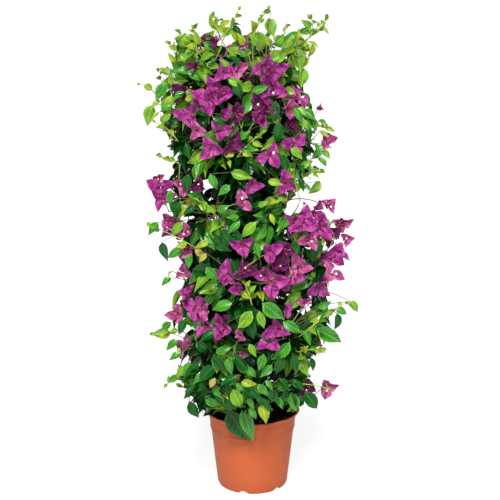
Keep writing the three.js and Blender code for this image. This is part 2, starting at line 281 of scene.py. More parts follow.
@dataclass(frozen=True)
class Habit:
    """The named sizes that the limbs and the crown are worked out from."""

    soil_top: float = 150.0
    gap: float = 0.3
    stem_height: float = 36.0
    stem_buried: float = 6.0
    stem_foot: float = 17.0
    stem_radius: float = 10.5
    stem_head: float = 12.5
    stem_lean: float = 5.0
    canes: int = 5
    cane_azimuth: float = 250.0
    cane_spread: float = 40.0
    cane_radius: float = 5.4
    cane_tip: float = 2.0
    cane_tops: tuple[float, ...] = (852, 822, 800, 838, 812)
    lean_start: float = 330.0
    lean_length: float = 430.0
    lean_shift: float = -38.0
    per_tier: int = 5
    tiers: tuple[Tier, ...] = (
        Tier("skirt", 214, 262, -12, 8, 104),
        Tier("low", 330, 236, 12, 74, 118),
        Tier("middle", 455, 266, 14, 78, 124),
        Tier("waist", 580, 238, 16, 80, 120),
        Tier("shoulder", 700, 268, 20, 84, 112),
        Tier("crown", 815, 234, 36, 92, 100),
    )
    outline: tuple[Girth, ...] = (
        Girth(100, 96, 92, 116),
        Girth(177, 132, 128, 140),
        Girth(285, 170, 148, 165),
        Girth(390, 176, 172, 172),
        Girth(494, 190, 178, 176),
        Girth(596, 208, 150, 176),
        Girth(696, 176, 138, 168),
        Girth(794, 205, 116, 160),
        Girth(891, 166, 122, 140),
        Girth(940, 150, 90, 110),
    )

    def axis(self, height: float) -> Vector:
        """Gives the crown's axis at a height: it leans to the left as it rises."""
        lean = self.lean_shift * ease(height, self.lean_start, self.lean_start + self.lean_length)
        return Vector((lean, 0, height))

    def girth(self, height: float) -> Girth:
        """Gives the crown's half widths at any height.

        Args:
            height: The height.

        Returns:
            The half widths there.
        """
        rows = self.outline
        above = next((row for row in rows if row.height > height), rows[-1])
        below = rows[max(rows.index(above) - 1, 0)]
        if above is below or height > above.height:
            return above
        share = (height - below.height) / (above.height - below.height)
        sides = [between(getattr(below, k), getattr(above, k), share) for k in ("left", "right", "depth")]
        return Girth(height, *sides)

    def share_out(self, point: Vector) -> float:
        """Tells how far out a point lies, from 0 on the axis to 1 on the crown's outline.

        Args:
            point: The point.

        Returns:
            The share, over 1 beyond the outline.
        """
        axis, girth = self.axis(point.z).x, self.girth(point.z)
        width = girth.left + axis if point.x < axis else girth.right - axis
        return math.hypot((point.x - axis) / width, point.y / girth.depth)

    def edge(self, height: float, away: Vector, share: float) -> Vector:
        """Gives the point at a height, a share of the way out to the crown's outline.

        Args:
            height: The height.
            away: The level direction out of the crown.
            share: From 0 on the axis to 1 on the outline.

        Returns:
            The point.
        """
        girth, centre = self.girth(height), self.axis(height)
        width = girth.right - centre.x if away.x > 0 else girth.left + centre.x
        return centre + away * (share / math.hypot(away.x / width, away.y / girth.depth))

    def cane_path(self, index: int) -> Spline:
        """Lays one cane from inside the stem's head, out round the crown's axis and up.

        Args:
            index: The cane's number.

        Returns:
            Its middle line.
        """
        azimuth = self.cane_azimuth + 360 * index / self.canes
        draw = Draws(Seed.CANES + index)
        start, bends = self.soil_top + self.stem_height - 8, 6
        points = [Vector((self.stem_lean * 0.4, 0, start)) + outward(azimuth) * 4]
        for bend in range(1, bends + 1):
            height = start + (self.cane_tops[index] - start) * bend / bends
            out = self.cane_spread * ease(bend / bends, -0.1, 0.32) + draw(-4, 4)
            points.append(self.axis(height) + outward(azimuth + draw(-9, 9)) * out)
        return Spline(points)


@dataclass
class Mass:
    """One foliage mass: where it stands and the stem that carries it."""

    name: str
    number: int
    tier: Tier
    away: Vector
    path: Bow


def lay_out_masses(habit: Habit, canes: list[Spline]) -> list[Mass]:
    """Lays out each mass of each tier with its stem, from the nearest cane to its tip.

    Args:
        habit: The plant's sizes.
        canes: The paths of the canes.

    Returns:
        The masses, from the lowest tier up.
    """
    masses = []
    for row, tier in enumerate(habit.tiers):
        for index in range(habit.per_tier):
            azimuth = tier.azimuth + 360 * index / habit.per_tier
            away = outward(azimuth)
            turns = [
                abs((azimuth - habit.cane_azimuth - 360 * i / habit.canes + 180) % 360 - 180)
                for i in range(habit.canes)
            ]
            root_height = max(tier.height - tier.drop, habit.soil_top + habit.stem_height + 14)
            root = point_at_height(canes[turns.index(min(turns))], root_height)
            tip = habit.axis(tier.height + tier.rise) + away * tier.reach
            bend = habit.axis(between(root_height, tip.z, 0.72) + 8) + away * (tier.reach * 0.66)
            name = f"{tier.name}_{index + 1}"
            masses.append(Mass(name, row * habit.per_tier + index, tier, away, Bow(root, bend, tip)))
    return masses


def point_at_height(path: Path, height: float) -> Vector:
    """Finds the point of a rising path at a height.

    Args:
        path: The rising path.
        height: The height to meet.

    Returns:
        The point.
    """
    low, high = 0.0, 1.0
    for _ in range(30):
        middle = (low + high) / 2
        if path.point(middle).z < height:
            low = middle
        else:
            high = middle
    return path.point(low)


# The photograph's viewpoint, which also places what is seen at the front

@dataclass(frozen=True)
class Viewpoint:
    """Where the bush was seen from, and how many pixels its view spreads over."""

    place: Place = (-5.0, -3000.0, 1360.0)
    pitch: float = 16.1
    focal: float = 1580.0
    frame_size: float = 500.0
    sensor: float = 36.0

    def ray(self, column: float, row: float) -> Vector:
        """Gives the direction in which a pixel looks, one unit long towards +Y.

        Args:
            column: The pixel's column.
            row: The pixel's row.

        Returns:
            The direction.
        """
        pitch = math.radians(self.pitch)
        forward = Vector((0, math.cos(pitch), -math.sin(pitch)))
        upward = Vector((0, math.sin(pitch), math.cos(pitch)))
        middle = self.frame_size / 2
        ray = forward * self.focal + Vector((1, 0, 0)) * (column - middle) + upward * (middle - row)
        return ray / ray.y

    def pixel(self, point: Vector) -> tuple[float, float]:
        """Gives the column and row in which a point is seen.

        Args:
            point: The point.

        Returns:
            The column and row.
        """
        pitch = math.radians(self.pitch)
        offset = point - Vector(self.place)
        depth = offset.y * math.cos(pitch) - offset.z * math.sin(pitch)
        upward = offset.y * math.sin(pitch) + offset.z * math.cos(pitch)
        middle = self.frame_size / 2
        return middle + self.focal * offset.x / depth, middle - self.focal * upward / depth

    def at_depth(self, column: float, row: float, depth: float) -> Vector:
        """Gives the point seen at a pixel and at a depth Y."""
        return Vector(self.place) + self.ray(column, row) * (depth - self.place[1])

    def on_front(self, habit: Habit, column: float, row: float, share: float) -> Vector:
        """Finds where a pixel's ray first meets the crown.

        Args:
            habit: The plant's sizes.
            column: The pixel's column.
            row: The pixel's row.
            share: The share of the crown's outline to stop at.

        Returns:
            The point met, or the one over the crown's axis where the ray passes beside it.
        """
        for depth in range(-180, 40, 4):
            point = self.at_depth(column, row, depth)
            if habit.share_out(point) < share:
                return point
        return self.at_depth(column, row, -10)


# Shaders

Value = Union["Wire", float]


@dataclass(frozen=True)
class Wire:
    """One output of a shader node; arithmetic on it adds Math nodes."""

    tree: "ShaderTree"
    socket: bpy.types.NodeSocket

    def sum(self, operation: str, *others: Value, clamp: bool = False) -> "Wire":
        """Adds a Math node to this output."""
        sockets = dict(enumerate((self, *others)))
        return self.tree.add("ShaderNodeMath", {"operation": operation, "use_clamp": clamp}, sockets)

    @staticmethod
    def operator(operation: str) -> Callable[["Wire", Value], "Wire"]:
        """Makes an operator that adds one Math node."""
        return lambda wire, other: wire.sum(operation, other)

    __add__ = __radd__ = operator("ADD")
    __sub__ = operator("SUBTRACT")
    __mul__ = __rmul__ = operator("MULTIPLY")
    __truediv__ = operator("DIVIDE")

    def __rsub__(self, other: float) -> "Wire":
        """Takes away from a number."""
        return (self * -1.0) + other

    def __abs__(self) -> "Wire":
        """Drops the sign."""
        return self.sum("ABSOLUTE")

    def clamped(self) -> "Wire":
        """Holds the value between 0 and 1."""
        return self.sum("ADD", 0.0, clamp=True)

    def ramp(self, start: float, end: float) -> "Wire":
        """Runs from 0 at start to 1 at end and holds beyond them."""
        return ((self - start) / (end - start)).clamped()


class ShaderTree:
    """Writes the nodes of one material."""

    def __init__(self, name: str) -> None:
        """Starts an empty material.

        Args:
            name: The material's name.
        """
        self.material = bpy.data.materials.new(name)
        self.material.use_nodes = True
        self.nodes = self.material.node_tree.nodes
        self.nodes.clear()

    def add(self, kind: str, settings: Optional[dict] = None, sockets: Optional[dict] = None,
            output: Union[int, str] = 0) -> Wire:
        """Adds one node.

        Args:
            kind: The node's type.
            settings: Its own settings, such as a Math node's operation.
            sockets: Values or wires for its inputs, by name or number.
            output: The output to hand on.

        Returns:
            The wire from that output.
        """
        node = self.nodes.new(kind)
        for key, value in (settings or {}).items():
            setattr(node, key, value)
        for key, value in (sockets or {}).items():
            if isinstance(value, Wire):
                self.material.node_tree.links.new(value.socket, node.inputs[key])
            else:
                node.inputs[key].default_value = value
        return Wire(self, node.outputs[output]) if node.outputs else Wire(self, node.inputs[0])

    def mix(self, low: Union[Wire, Colour], high: Union[Wire, Colour], share: Value) -> Wire:
        """Mixes two colours."""
        return self.add("ShaderNodeMix", {"data_type": "RGBA"}, {0: share, 6: low, 7: high}, 2)

    def parts(self, vector: Wire) -> tuple[Wire, Wire, Wire]:
        """Splits a vector into its three numbers."""
        split = self.add("ShaderNodeSeparateXYZ", sockets={"Vector": vector})
        return tuple(Wire(self, output) for output in split.socket.node.outputs)

    def object_place(self) -> Wire:
        """Gives the place on the object, in metres."""
        return self.add("ShaderNodeTexCoord", output="Object")

    def own_map(self) -> Wire:
        """Gives the piece's own UV map."""
        return self.add("ShaderNodeUVMap", {"uv_map": BAKE_MAP})

    def blade_chart(self) -> tuple[Wire, Wire, Wire, Wire]:
        """Gives a blade's own map, its row on the sheet, and its shares along and across.

        Returns:
            The map, the row, and the shares from the foot to the tip and from the midrib to the rim.
        """
        own = self.own_map()
        column, row, _ = self.parts(own)
        across = abs((row * SHEET_CELLS).sum("FRACT") - 0.5) * 2
        return own, row, (column * SHEET_CELLS).sum("FRACT"), across

    def grain(self, place: Wire, scale: float, detail: float = 3.0, roughness: float = 0.5) -> Wire:
        """Gives cloudy noise, about 0 to 1."""
        sockets = {"Vector": place, "Scale": scale, "Detail": detail, "Roughness": roughness}
        return self.add("ShaderNodeTexNoise", sockets=sockets)

    def bump(self, height: Wire, strength: float, distance: float) -> Wire:
        """Turns a height into a bumped normal; the distance is in metres."""
        sockets = {"Height": height, "Strength": strength, "Distance": distance}
        return self.add("ShaderNodeBump", sockets=sockets)

    def finish(self, sockets: dict) -> bpy.types.Material:
        """Closes the material with a Principled shader and an output.

        Args:
            sockets: Values or wires for the shader's inputs.

        Returns:
            The material.
        """
        skin = self.add("ShaderNodeBsdfPrincipled", sockets=sockets)
        self.add("ShaderNodeOutputMaterial", sockets={"Surface": skin})
        return self.material


# Finishes

@dataclass(frozen=True)
class PotPlastic:
    """Satin terracotta-coloured plastic, a little uneven, with fine turning marks."""

    colour: Colour = shade(179, 88, 51)
    dull: Colour = shade(160, 73, 42)
    roughness: float = 0.52

    def make(self) -> bpy.types.Material:
        """Builds the material.

        Returns:
            The material.
        """
        tree = ShaderTree("pot_plastic")
        place = tree.object_place()
        cloud = tree.grain(place, 9.0, 4.0, 0.6)
        _, _, height = tree.parts(place)
        # Darker towards the bottom, over the lowest three centimetres of the pot
        darker_foot = (1 - height.ramp(0.0, 0.03)) * 0.5
        colour = tree.mix(self.colour, self.dull, (cloud.ramp(0.35, 0.75) * 0.4 + darker_foot).clamped())
        marks = tree.add("ShaderNodeTexWave", {"bands_direction": "Z"}, {
            "Vector": place, "Scale": 260.0, "Distortion": 0.6, "Detail": 1.0,
        })
        fine = tree.grain(place, 900.0, 2.0)
        normal = tree.bump(marks * 0.25 + fine * 0.75, 0.12, 0.0003)
        rough = cloud * 0.12 + (self.roughness - 0.05)
        return tree.finish({
            "Base Color": colour, "Roughness": rough, "Normal": normal, "Specular IOR Level": 0.14,
        })


@dataclass(frozen=True)
class PottingMix:
    """Dark, crumbly potting soil with fibres in it."""

    dark: Colour = shade(22, 15, 11)
    brown: Colour = shade(74, 50, 33)

    def make(self) -> bpy.types.Material:
        """Builds the material.

        Returns:
            The material.
        """
        tree = ShaderTree("potting_mix")
        place = tree.object_place()
        crumbs = tree.grain(place, 220.0, 5.0, 0.7)
        clods = tree.grain(place, 60.0, 3.0, 0.5)
        colour = tree.mix(self.dark, self.brown, (crumbs * 0.6 + clods * 0.5).ramp(0.45, 0.8))
        normal = tree.bump(crumbs + clods, 0.9, 0.002)
        return tree.finish({"Base Color": colour, "Roughness": 0.95, "Normal": normal})


@dataclass(frozen=True)
class Crumb:
    """A loose bit lying on the soil, such as a bark chip or a white grain."""

    name: str
    pale: Colour
    dark: Colour

    def make(self) -> bpy.types.Material:
        """Builds the material.

        Returns:
            The material.
        """
        tree = ShaderTree(self.name)
        place = tree.object_place()
        fibres = tree.grain(place, 400.0, 4.0, 0.6)
        colour = tree.mix(self.dark, self.pale, fibres.ramp(0.3, 0.7))
        normal = tree.bump(fibres, 0.6, 0.0008)
        return tree.finish({"Base Color": colour, "Roughness": 0.9, "Normal": normal})


@dataclass(frozen=True)
class Bark:
    """Fissured grey-brown bark, with the pale pores of young canes."""

    name: str
    dark: Colour = shade(58, 42, 30)
    light: Colour = shade(146, 122, 92)
    fissures: float = 90.0

    def make(self) -> bpy.types.Material:
        """Builds the material.

        Returns:
            The material.
        """
        tree = ShaderTree(self.name)
        place = tree.object_place()
        drawn_out = tree.add("ShaderNodeMapping", sockets={"Vector": place, "Scale": (1.0, 1.0, 0.16)})
        strips = tree.grain(drawn_out, self.fissures, 5.0, 0.65)
        fine = tree.grain(drawn_out, self.fissures * 5, 3.0)
        pores = tree.add("ShaderNodeTexVoronoi", sockets={"Vector": place, "Scale": 210.0})
        spots = 1 - pores.ramp(0.12, 0.22)
        worn = (strips * 0.7 + fine * 0.3).ramp(0.36, 0.62)
        colour = tree.mix(tree.mix(self.dark, self.light, worn), self.light, spots * 0.35)
        normal = tree.bump(strips + fine * 0.4 + spots * 0.3, 0.8, 0.0012)
        return tree.finish({"Base Color": colour, "Roughness": 0.86, "Normal": normal})


@dataclass(frozen=True)
class GreenTwig:
    """Young wood and leaf stalks: smooth, green to tan."""

    name: str
    green: Colour
    tan: Colour

    def make(self) -> bpy.types.Material:
        """Builds the material.

        Returns:
            The material.
        """
        tree = ShaderTree(self.name)
        place = tree.object_place()
        cloud = tree.grain(place, 26.0, 3.0)
        fine = tree.grain(place, 700.0, 2.0)
        colour = tree.mix(self.green, self.tan, cloud.ramp(0.4, 0.65))
        normal = tree.bump(fine, 0.3, 0.0004)
        return tree.finish({"Base Color": colour, "Roughness": 0.6, "Normal": normal})


@dataclass(frozen=True)
class LeafSkin:
    """A glossy leaf: blade, pale ribs, soft mottling and a duller, paler underside."""

    name: str
    blade: Colour
    light: Colour
    rib: Colour
    gloss: float = 0.34
    shine: float = 0.3

    def make(self) -> bpy.types.Material:
        """Builds the material, which follows the leaf's own map alone.

        Returns:
            The material.
        """
        tree = ShaderTree(self.name)
        own, row, along, across = tree.blade_chart()
        under = (row * SHEET_CELLS).sum("FLOOR").sum("MODULO", 2.0)
        midrib = 1 - across.ramp(0.012, 0.05)
        bent = along * 7.5 - across * 2.6 + across * across * 1.1
        side_ribs = 1 - (abs(bent.sum("FRACT") - 0.5)).ramp(0.03, 0.13)
        fading = 1 - across.ramp(0.45, 0.8)
        ribs = (midrib + side_ribs * fading * 0.4).clamped()
        cloud = tree.grain(own, 9.0, 3.0)
        fine = tree.grain(own, 90.0, 2.0)
        edge = across.ramp(0.4, 1.0)
        blade = tree.mix(self.blade, self.light, (cloud.ramp(0.4, 0.65) * 0.6 + edge * 0.6).clamped())
        blade = tree.mix(blade, self.rib, ribs * 0.6)
        pale = tree.mix(blade, self.rib, 0.3)
        colour = tree.mix(blade, pale, under)
        swell = (abs(bent.sum("FRACT") - 0.5)).ramp(0.0, 0.3) * 0.6 - midrib
        relief = swell * (1 - under * 1.6)
        normal = tree.bump(relief + fine * 0.12, 0.35, 0.0008)
        rough = under * 0.22 + fine * 0.08 + self.gloss
        return tree.finish({
            "Base Color": colour, "Roughness": rough, "Normal": normal, "Specular IOR Level": self.shine,
        })


@dataclass(frozen=True)
class BractSkin:
    """A papery bract: purple, paler between its ribs, with a net of redder veins."""

    name: str
    blade: Colour
    light: Colour
    vein: Colour

    def make(self) -> bpy.types.Material:
        """Builds the material, which follows the bract's own map alone.

        Returns:
            The material.
        """
        tree = ShaderTree(self.name)
        own, _, along, across = tree.blade_chart()
        midrib = 1 - across.ramp(0.01, 0.06)
        bent = along * 6.0 - across * 3.2
        side_ribs = 1 - (abs(bent.sum("FRACT") - 0.5)).ramp(0.02, 0.12)
        cells = {"Vector": own, "Scale": 38.0}
        net = tree.add("ShaderNodeTexVoronoi", {"feature": "DISTANCE_TO_EDGE"}, cells)
        mesh_lines = 1 - net.ramp(0.01, 0.07)
        veins = (midrib + side_ribs * 0.6 + mesh_lines * 0.15).clamped()
        cloud = tree.grain(own, 10.0, 3.0)
        base = 1 - along.ramp(0.1, 0.5)
        edge = across.ramp(0.6, 1.0)
        mottle = tree.grain(own, 46.0, 3.0, 0.7)
        pale = cloud.ramp(0.42, 0.6) * 0.55 + mottle.ramp(0.4, 0.62) * 0.25 + base * 0.2 + edge * 0.4
        colour = tree.mix(self.blade, self.light, pale.clamped())
        colour = tree.mix(colour, self.vein, veins * 0.55)
        creases = tree.grain(own, 26.0, 2.0, 0.6)
        normal = tree.bump(cloud * 0.9 + creases * 1.1 - veins * 0.5, 1.0, 0.004)
        return tree.finish({
            "Base Color": colour, "Roughness": 0.5, "Normal": normal, "Specular IOR Level": 0.25,
        })


@dataclass(frozen=True)
class TubeFlower:
    """The small true flower: a rosy tube that ends in a cream star."""

    tube: Colour = shade(158, 40, 88)
    star: Colour = shade(250, 244, 214)
    throat: Colour = shade(206, 112, 104)

    def make(self) -> bpy.types.Material:
        """Builds the material, which runs from the tube's foot to the star.

        Returns:
            The material.
        """
        tree = ShaderTree("tube_flower")
        own = tree.own_map()
        column, _, _ = tree.parts(own)
        cloud = tree.grain(own, 30.0, 2.0)
        colour = tree.mix(self.tube, self.throat, column.ramp(0.45, 0.62))
        colour = tree.mix(colour, self.star, column.ramp(0.62, 0.72))
        normal = tree.bump(cloud, 0.2, 0.0004)
        return tree.finish({"Base Color": colour, "Roughness": cloud * 0.1 + 0.45, "Normal": normal})


@dataclass(frozen=True)
class StudioPaper:
    """The pale paper that the pot stands on."""

    colour: Colour = shade(124, 124, 124)
    glow: float = 0.86

    def make(self) -> bpy.types.Material:
        """Builds the material.

        Returns:
            The material.
        """
        tree = ShaderTree("studio_paper")
        fibres = tree.grain(tree.object_place(), 300.0, 2.0)
        return tree.finish({
            "Base Color": self.colour, "Roughness": fibres * 0.05 + 0.85, "Specular IOR Level": 0.1,
            "Emission Color": (1.0, 1.0, 1.0, 1.0), "Emission Strength": self.glow,
        })


# Blades and other small shapes that are repeated, and the pieces they are joined into

# Leaves share a sheet of this many rows and columns of cells; upper sides in even rows, undersides in odd
SHEET_CELLS = 4.0
CELL_MARGIN = 0.05
# The ways in which a blade of each kind is held, one to a cell
HELD_WAYS = 8
# Shares of a leaf's length at which it is kept clear of others
LEAF_MARKS = (0.3, 0.62, 0.98)
# Stretches along a twig or stalk, by the number of its sides
TUBE_STEPS = {5: 8, 4: 5, 3: 3}
# A blossom beyond this size gets a smaller one beside it
DOUBLE_SIZE = 1.14
# What sets the draws of neighbouring sprays and masses far apart
SPRAY_FACTOR = 9973
MASS_STRIDE = 77
# The cylinder round the pot's rim that leaves keep out of, in millimetres
POT_CLEAR_HEIGHT = 168.0
POT_CLEAR_RADIUS = 101.0
# How far forward leaves hang over the pot, in millimetres
POT_FRONT = -103.0


@dataclass
class Shape:
    """A small closed mesh as arrays, ready to be repeated."""

    places: np.ndarray
    corners: np.ndarray
    sizes: np.ndarray
    chart: np.ndarray
    rim: np.ndarray

    @staticmethod
    def of(bm: bmesh.types.BMesh, rim_layer: Optional[bmesh.types.BMLayerItem] = None) -> "Shape":
        """Reads a bmesh into arrays and frees it.

        Args:
            bm: The finished mesh.
            rim_layer: A whole-number vertex layer that is 1 on a blade's rim.

        Returns:
            The shape.
        """
        bm.verts.index_update()
        layer = bm.loops.layers.uv.get(BAKE_MAP)
        corners, sizes, chart = [], [], []
        for face in bm.faces:
            sizes.append(len(face.loops))
            for loop in face.loops:
                corners.append(loop.vert.index)
                chart.append(tuple(loop[layer].uv) if layer else (0.0, 0.0))
        places = np.array([tuple(vert.co) for vert in bm.verts])
        rim = np.array([bool(vert[rim_layer]) if rim_layer else False for vert in bm.verts])
        bm.free()
        return Shape(places, np.array(corners), np.array(sizes), np.array(chart), rim)


@dataclass(frozen=True)
class BladeForm:
    """The form of a leaf or bract, as shares of its length."""

    width: float
    fullness: float
    taper: float
    blunt: float
    steps: int
    strips: int
    thickness: float

    def half_width(self, share: float) -> float:
        """Gives the half width at a share of the length: full near the foot, drawn out to a point."""
        swell = math.sin(math.pi * share ** self.fullness) if 0 < share < 1 else 0.0
        return self.width / 2 * max(swell, 0.0) ** self.blunt * (1 - self.taper * share ** 3)


@dataclass(frozen=True)
class BladeSet:
    """How one blade of a kind is set: bent, folded, twisted, swayed and rippled."""

    bend: float
    fold: float
    twist: float
    sway: float
    ripple: float


def blade_shape(form: BladeForm, hold: BladeSet, cell: int) -> Shape:
    """Makes one blade: an upper and a lower sheet that meet at the rim.

    The blade runs along +X from its foot, with its upper side to +Z.

    Args:
        form: The blade's outline.
        hold: How it is bent and folded.
        cell: Its cell on the shared sheet, from 0 to 7.

    Returns:
        The blade, one unit long.
    """
    bm = bmesh.new()
    chart = bm.loops.layers.uv.new(BAKE_MAP)
    rim = bm.verts.layers.int.new("rim")
    bmesh.ops.create_grid(bm, x_segments=form.steps, y_segments=form.strips, size=0.5)
    widest = form.width / 2
    column, row = cell % int(SHEET_CELLS), 2 * (cell // int(SHEET_CELLS))
    room = 1 - 2 * CELL_MARGIN
    for face in bm.faces:
        for loop in face.loops:
            along, across = loop.vert.co.x + 0.5, loop.vert.co.y * 2
            side = across * form.half_width(along) / widest / 2 + 0.5
            place = (column + CELL_MARGIN + room * along, row + CELL_MARGIN + room * side)
            loop[chart].uv = (place[0] / SHEET_CELLS, place[1] / SHEET_CELLS)
    upper = list(bm.faces)
    copied = bmesh.ops.duplicate(bm, geom=list(bm.verts) + list(bm.edges) + upper)
    lower = [item for item in copied["geom"] if isinstance(item, bmesh.types.BMFace)]
    bmesh.ops.reverse_faces(bm, faces=lower)
    for face in lower:
        for loop in face.loops:
            loop[chart].uv.y += 1 / SHEET_CELLS
    below = {vert for face in lower for vert in face.verts}
    for vert in bm.verts:
        along, across = vert.co.x + 0.5, vert.co.y * 2
        vert[rim] = int(abs(across) > 0.99 or along < 0.01 or along > 0.99)
        depth = form.thickness * (1 - across * across) if vert in below else 0.0
        vert.co = blade_point(form, hold, along, across, depth)
    bmesh.ops.remove_doubles(bm, verts=list(bm.verts), dist=1e-4)
    return Shape.of(bm, rim)


def blade_point(form: BladeForm, hold: BladeSet, along: float, across: float, depth: float) -> Vector:
    """Gives the place of one point of a blade.

    Args:
        form: The blade's outline.
        hold: How it is bent and folded.
        along: The share of the length.
        across: From -1 on one edge to 1 on the other.
        depth: How far the point lies under the upper sheet.

    Returns:
        The place, for a blade one unit long.
    """
    arc = hold.bend * along
    middle = Vector((math.sin(arc) / hold.bend, hold.sway * along * along, -(1 - math.cos(arc)) / hold.bend))
    normal = Vector((math.sin(arc), 0, math.cos(arc)))
    spread = across * form.half_width(along)
    roll = hold.twist * along
    lift = abs(spread) * hold.fold - abs(spread) ** 2 * hold.fold * 0.8
    lift += hold.ripple * abs(across) * math.sin(9 * along + 2.5 * across) * form.half_width(along)
    side = Vector((0, math.cos(roll), 0)) + normal * math.sin(roll)
    return middle + side * spread + normal * (lift - depth)


@dataclass
class Joined:
    """Many small shapes joined into one piece."""

    places: list[np.ndarray] = field(default_factory=list)
    shapes: list[Shape] = field(default_factory=list)

    def add(self, shape: Shape, places: np.ndarray) -> None:
        """Adds a shape with its points where they lie in the plant, in millimetres."""
        self.shapes.append(shape)
        self.places.append(places)

    def make(self, name: str) -> bpy.types.Object:
        """Joins the shapes into one smooth object with sharp rims.

        Args:
            name: The piece's name.

        Returns:
            The object, at the origin.
        """
        counts = np.array([len(places) for places in self.places])
        starts = np.concatenate([[0], np.cumsum(counts)[:-1]])
        corners = np.concatenate([shape.corners + start for shape, start in zip(self.shapes, starts)])
        sizes = np.concatenate([shape.sizes for shape in self.shapes])
        mesh = bpy.data.meshes.new(name)
        mesh.vertices.add(int(counts.sum()))
        mesh.vertices.foreach_set("co", (np.concatenate(self.places) * MM).astype(np.float32).ravel())
        mesh.loops.add(len(corners))
        mesh.loops.foreach_set("vertex_index", corners.astype(np.int32))
        mesh.polygons.add(len(sizes))
        mesh.polygons.foreach_set("loop_start", (np.cumsum(sizes) - sizes).astype(np.int32))
        mesh.polygons.foreach_set("loop_total", sizes.astype(np.int32))
        mesh.polygons.foreach_set("use_smooth", np.ones(len(sizes), bool))
        mesh.update(calc_edges=True)
        chart = mesh.uv_layers.new(name=BAKE_MAP)
        uvs = np.concatenate([shape.chart for shape in self.shapes])
        chart.data.foreach_set("uv", uvs.astype(np.float32).ravel())
        ends = np.zeros(len(mesh.edges) * 2, np.int32)
        mesh.edges.foreach_get("vertices", ends)
        rim = np.concatenate([shape.rim for shape in self.shapes])
        sharp = mesh.attributes.new("sharp_edge", "BOOLEAN", "EDGE")
        sharp.data.foreach_set("value", rim[ends[0::2]] & rim[ends[1::2]])
        mesh.validate()
        return linked(bpy.data.objects.new(name, mesh))


def linked(piece: bpy.types.Object) -> bpy.types.Object:
    """Puts an object in the scene."""
    bpy.context.scene.collection.objects.link(piece)
    return piece


def object_of(name: str, bm: bmesh.types.BMesh) -> bpy.types.Object:
    """Turns a bmesh in millimetres into a smooth object at the origin.

    Args:
        name: The piece's name.
        bm: The finished mesh, which is freed.

    Returns:
        The object, in metres.
    """
    bmesh.ops.scale(bm, vec=(MM, MM, MM), verts=list(bm.verts))
    for face in bm.faces:
        face.smooth = True
    mesh = bpy.data.meshes.new(name)
    bm.to_mesh(mesh)
    bm.free()
    return linked(bpy.data.objects.new(name, mesh))


def revolved(section: list[tuple[float, float]], sides: int) -> bmesh.types.BMesh:
    """Turns a section of radius and height once round the upright axis.

    Args:
        section: The section's points, as radius and height.
        sides: How many steps the turn takes.

    Returns:
        The turned mesh, with its seam merged.
    """
    bm = bmesh.new()
    points = [bm.verts.new((radius, 0, height)) for radius, height in section]
    edges = [bm.edges.new(pair) for pair in zip(points, points[1:])]
    bmesh.ops.spin(
        bm, geom=points + edges, cent=(0, 0, 0), axis=(0, 0, 1), dvec=(0, 0, 0),
        angle=math.tau, steps=sides, use_merge=True, use_duplicate=False,
    )
    bmesh.ops.remove_doubles(bm, verts=list(bm.verts), dist=0.01)
    return bm


def seal(bm: bmesh.types.BMesh) -> None:
    """Fills what is open and turns every face outwards."""
    bmesh.ops.holes_fill(bm, edges=[edge for edge in bm.edges if edge.is_boundary], sides=0)
    bmesh.ops.recalc_face_normals(bm, faces=list(bm.faces))


def dress(piece: bpy.types.Object, material: bpy.types.Material, slot: str, *nodes: str) -> None:
    """Gives a piece its finish, its body and the solids that it stands for.

    Args:
        piece: The finished object.
        material: Its material.
        slot: Not used.
        nodes: The solids that it replaces.
    """
    piece.data.materials.clear()
    piece.data.materials.append(material)
    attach(piece, "root")
    if nodes:
        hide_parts(*nodes)
    faces = sum(len(p.vertices) - 2 for p in piece.data.polygons)
    log.info("%s: %d triangles", piece.name, faces)


# The pot and its soil

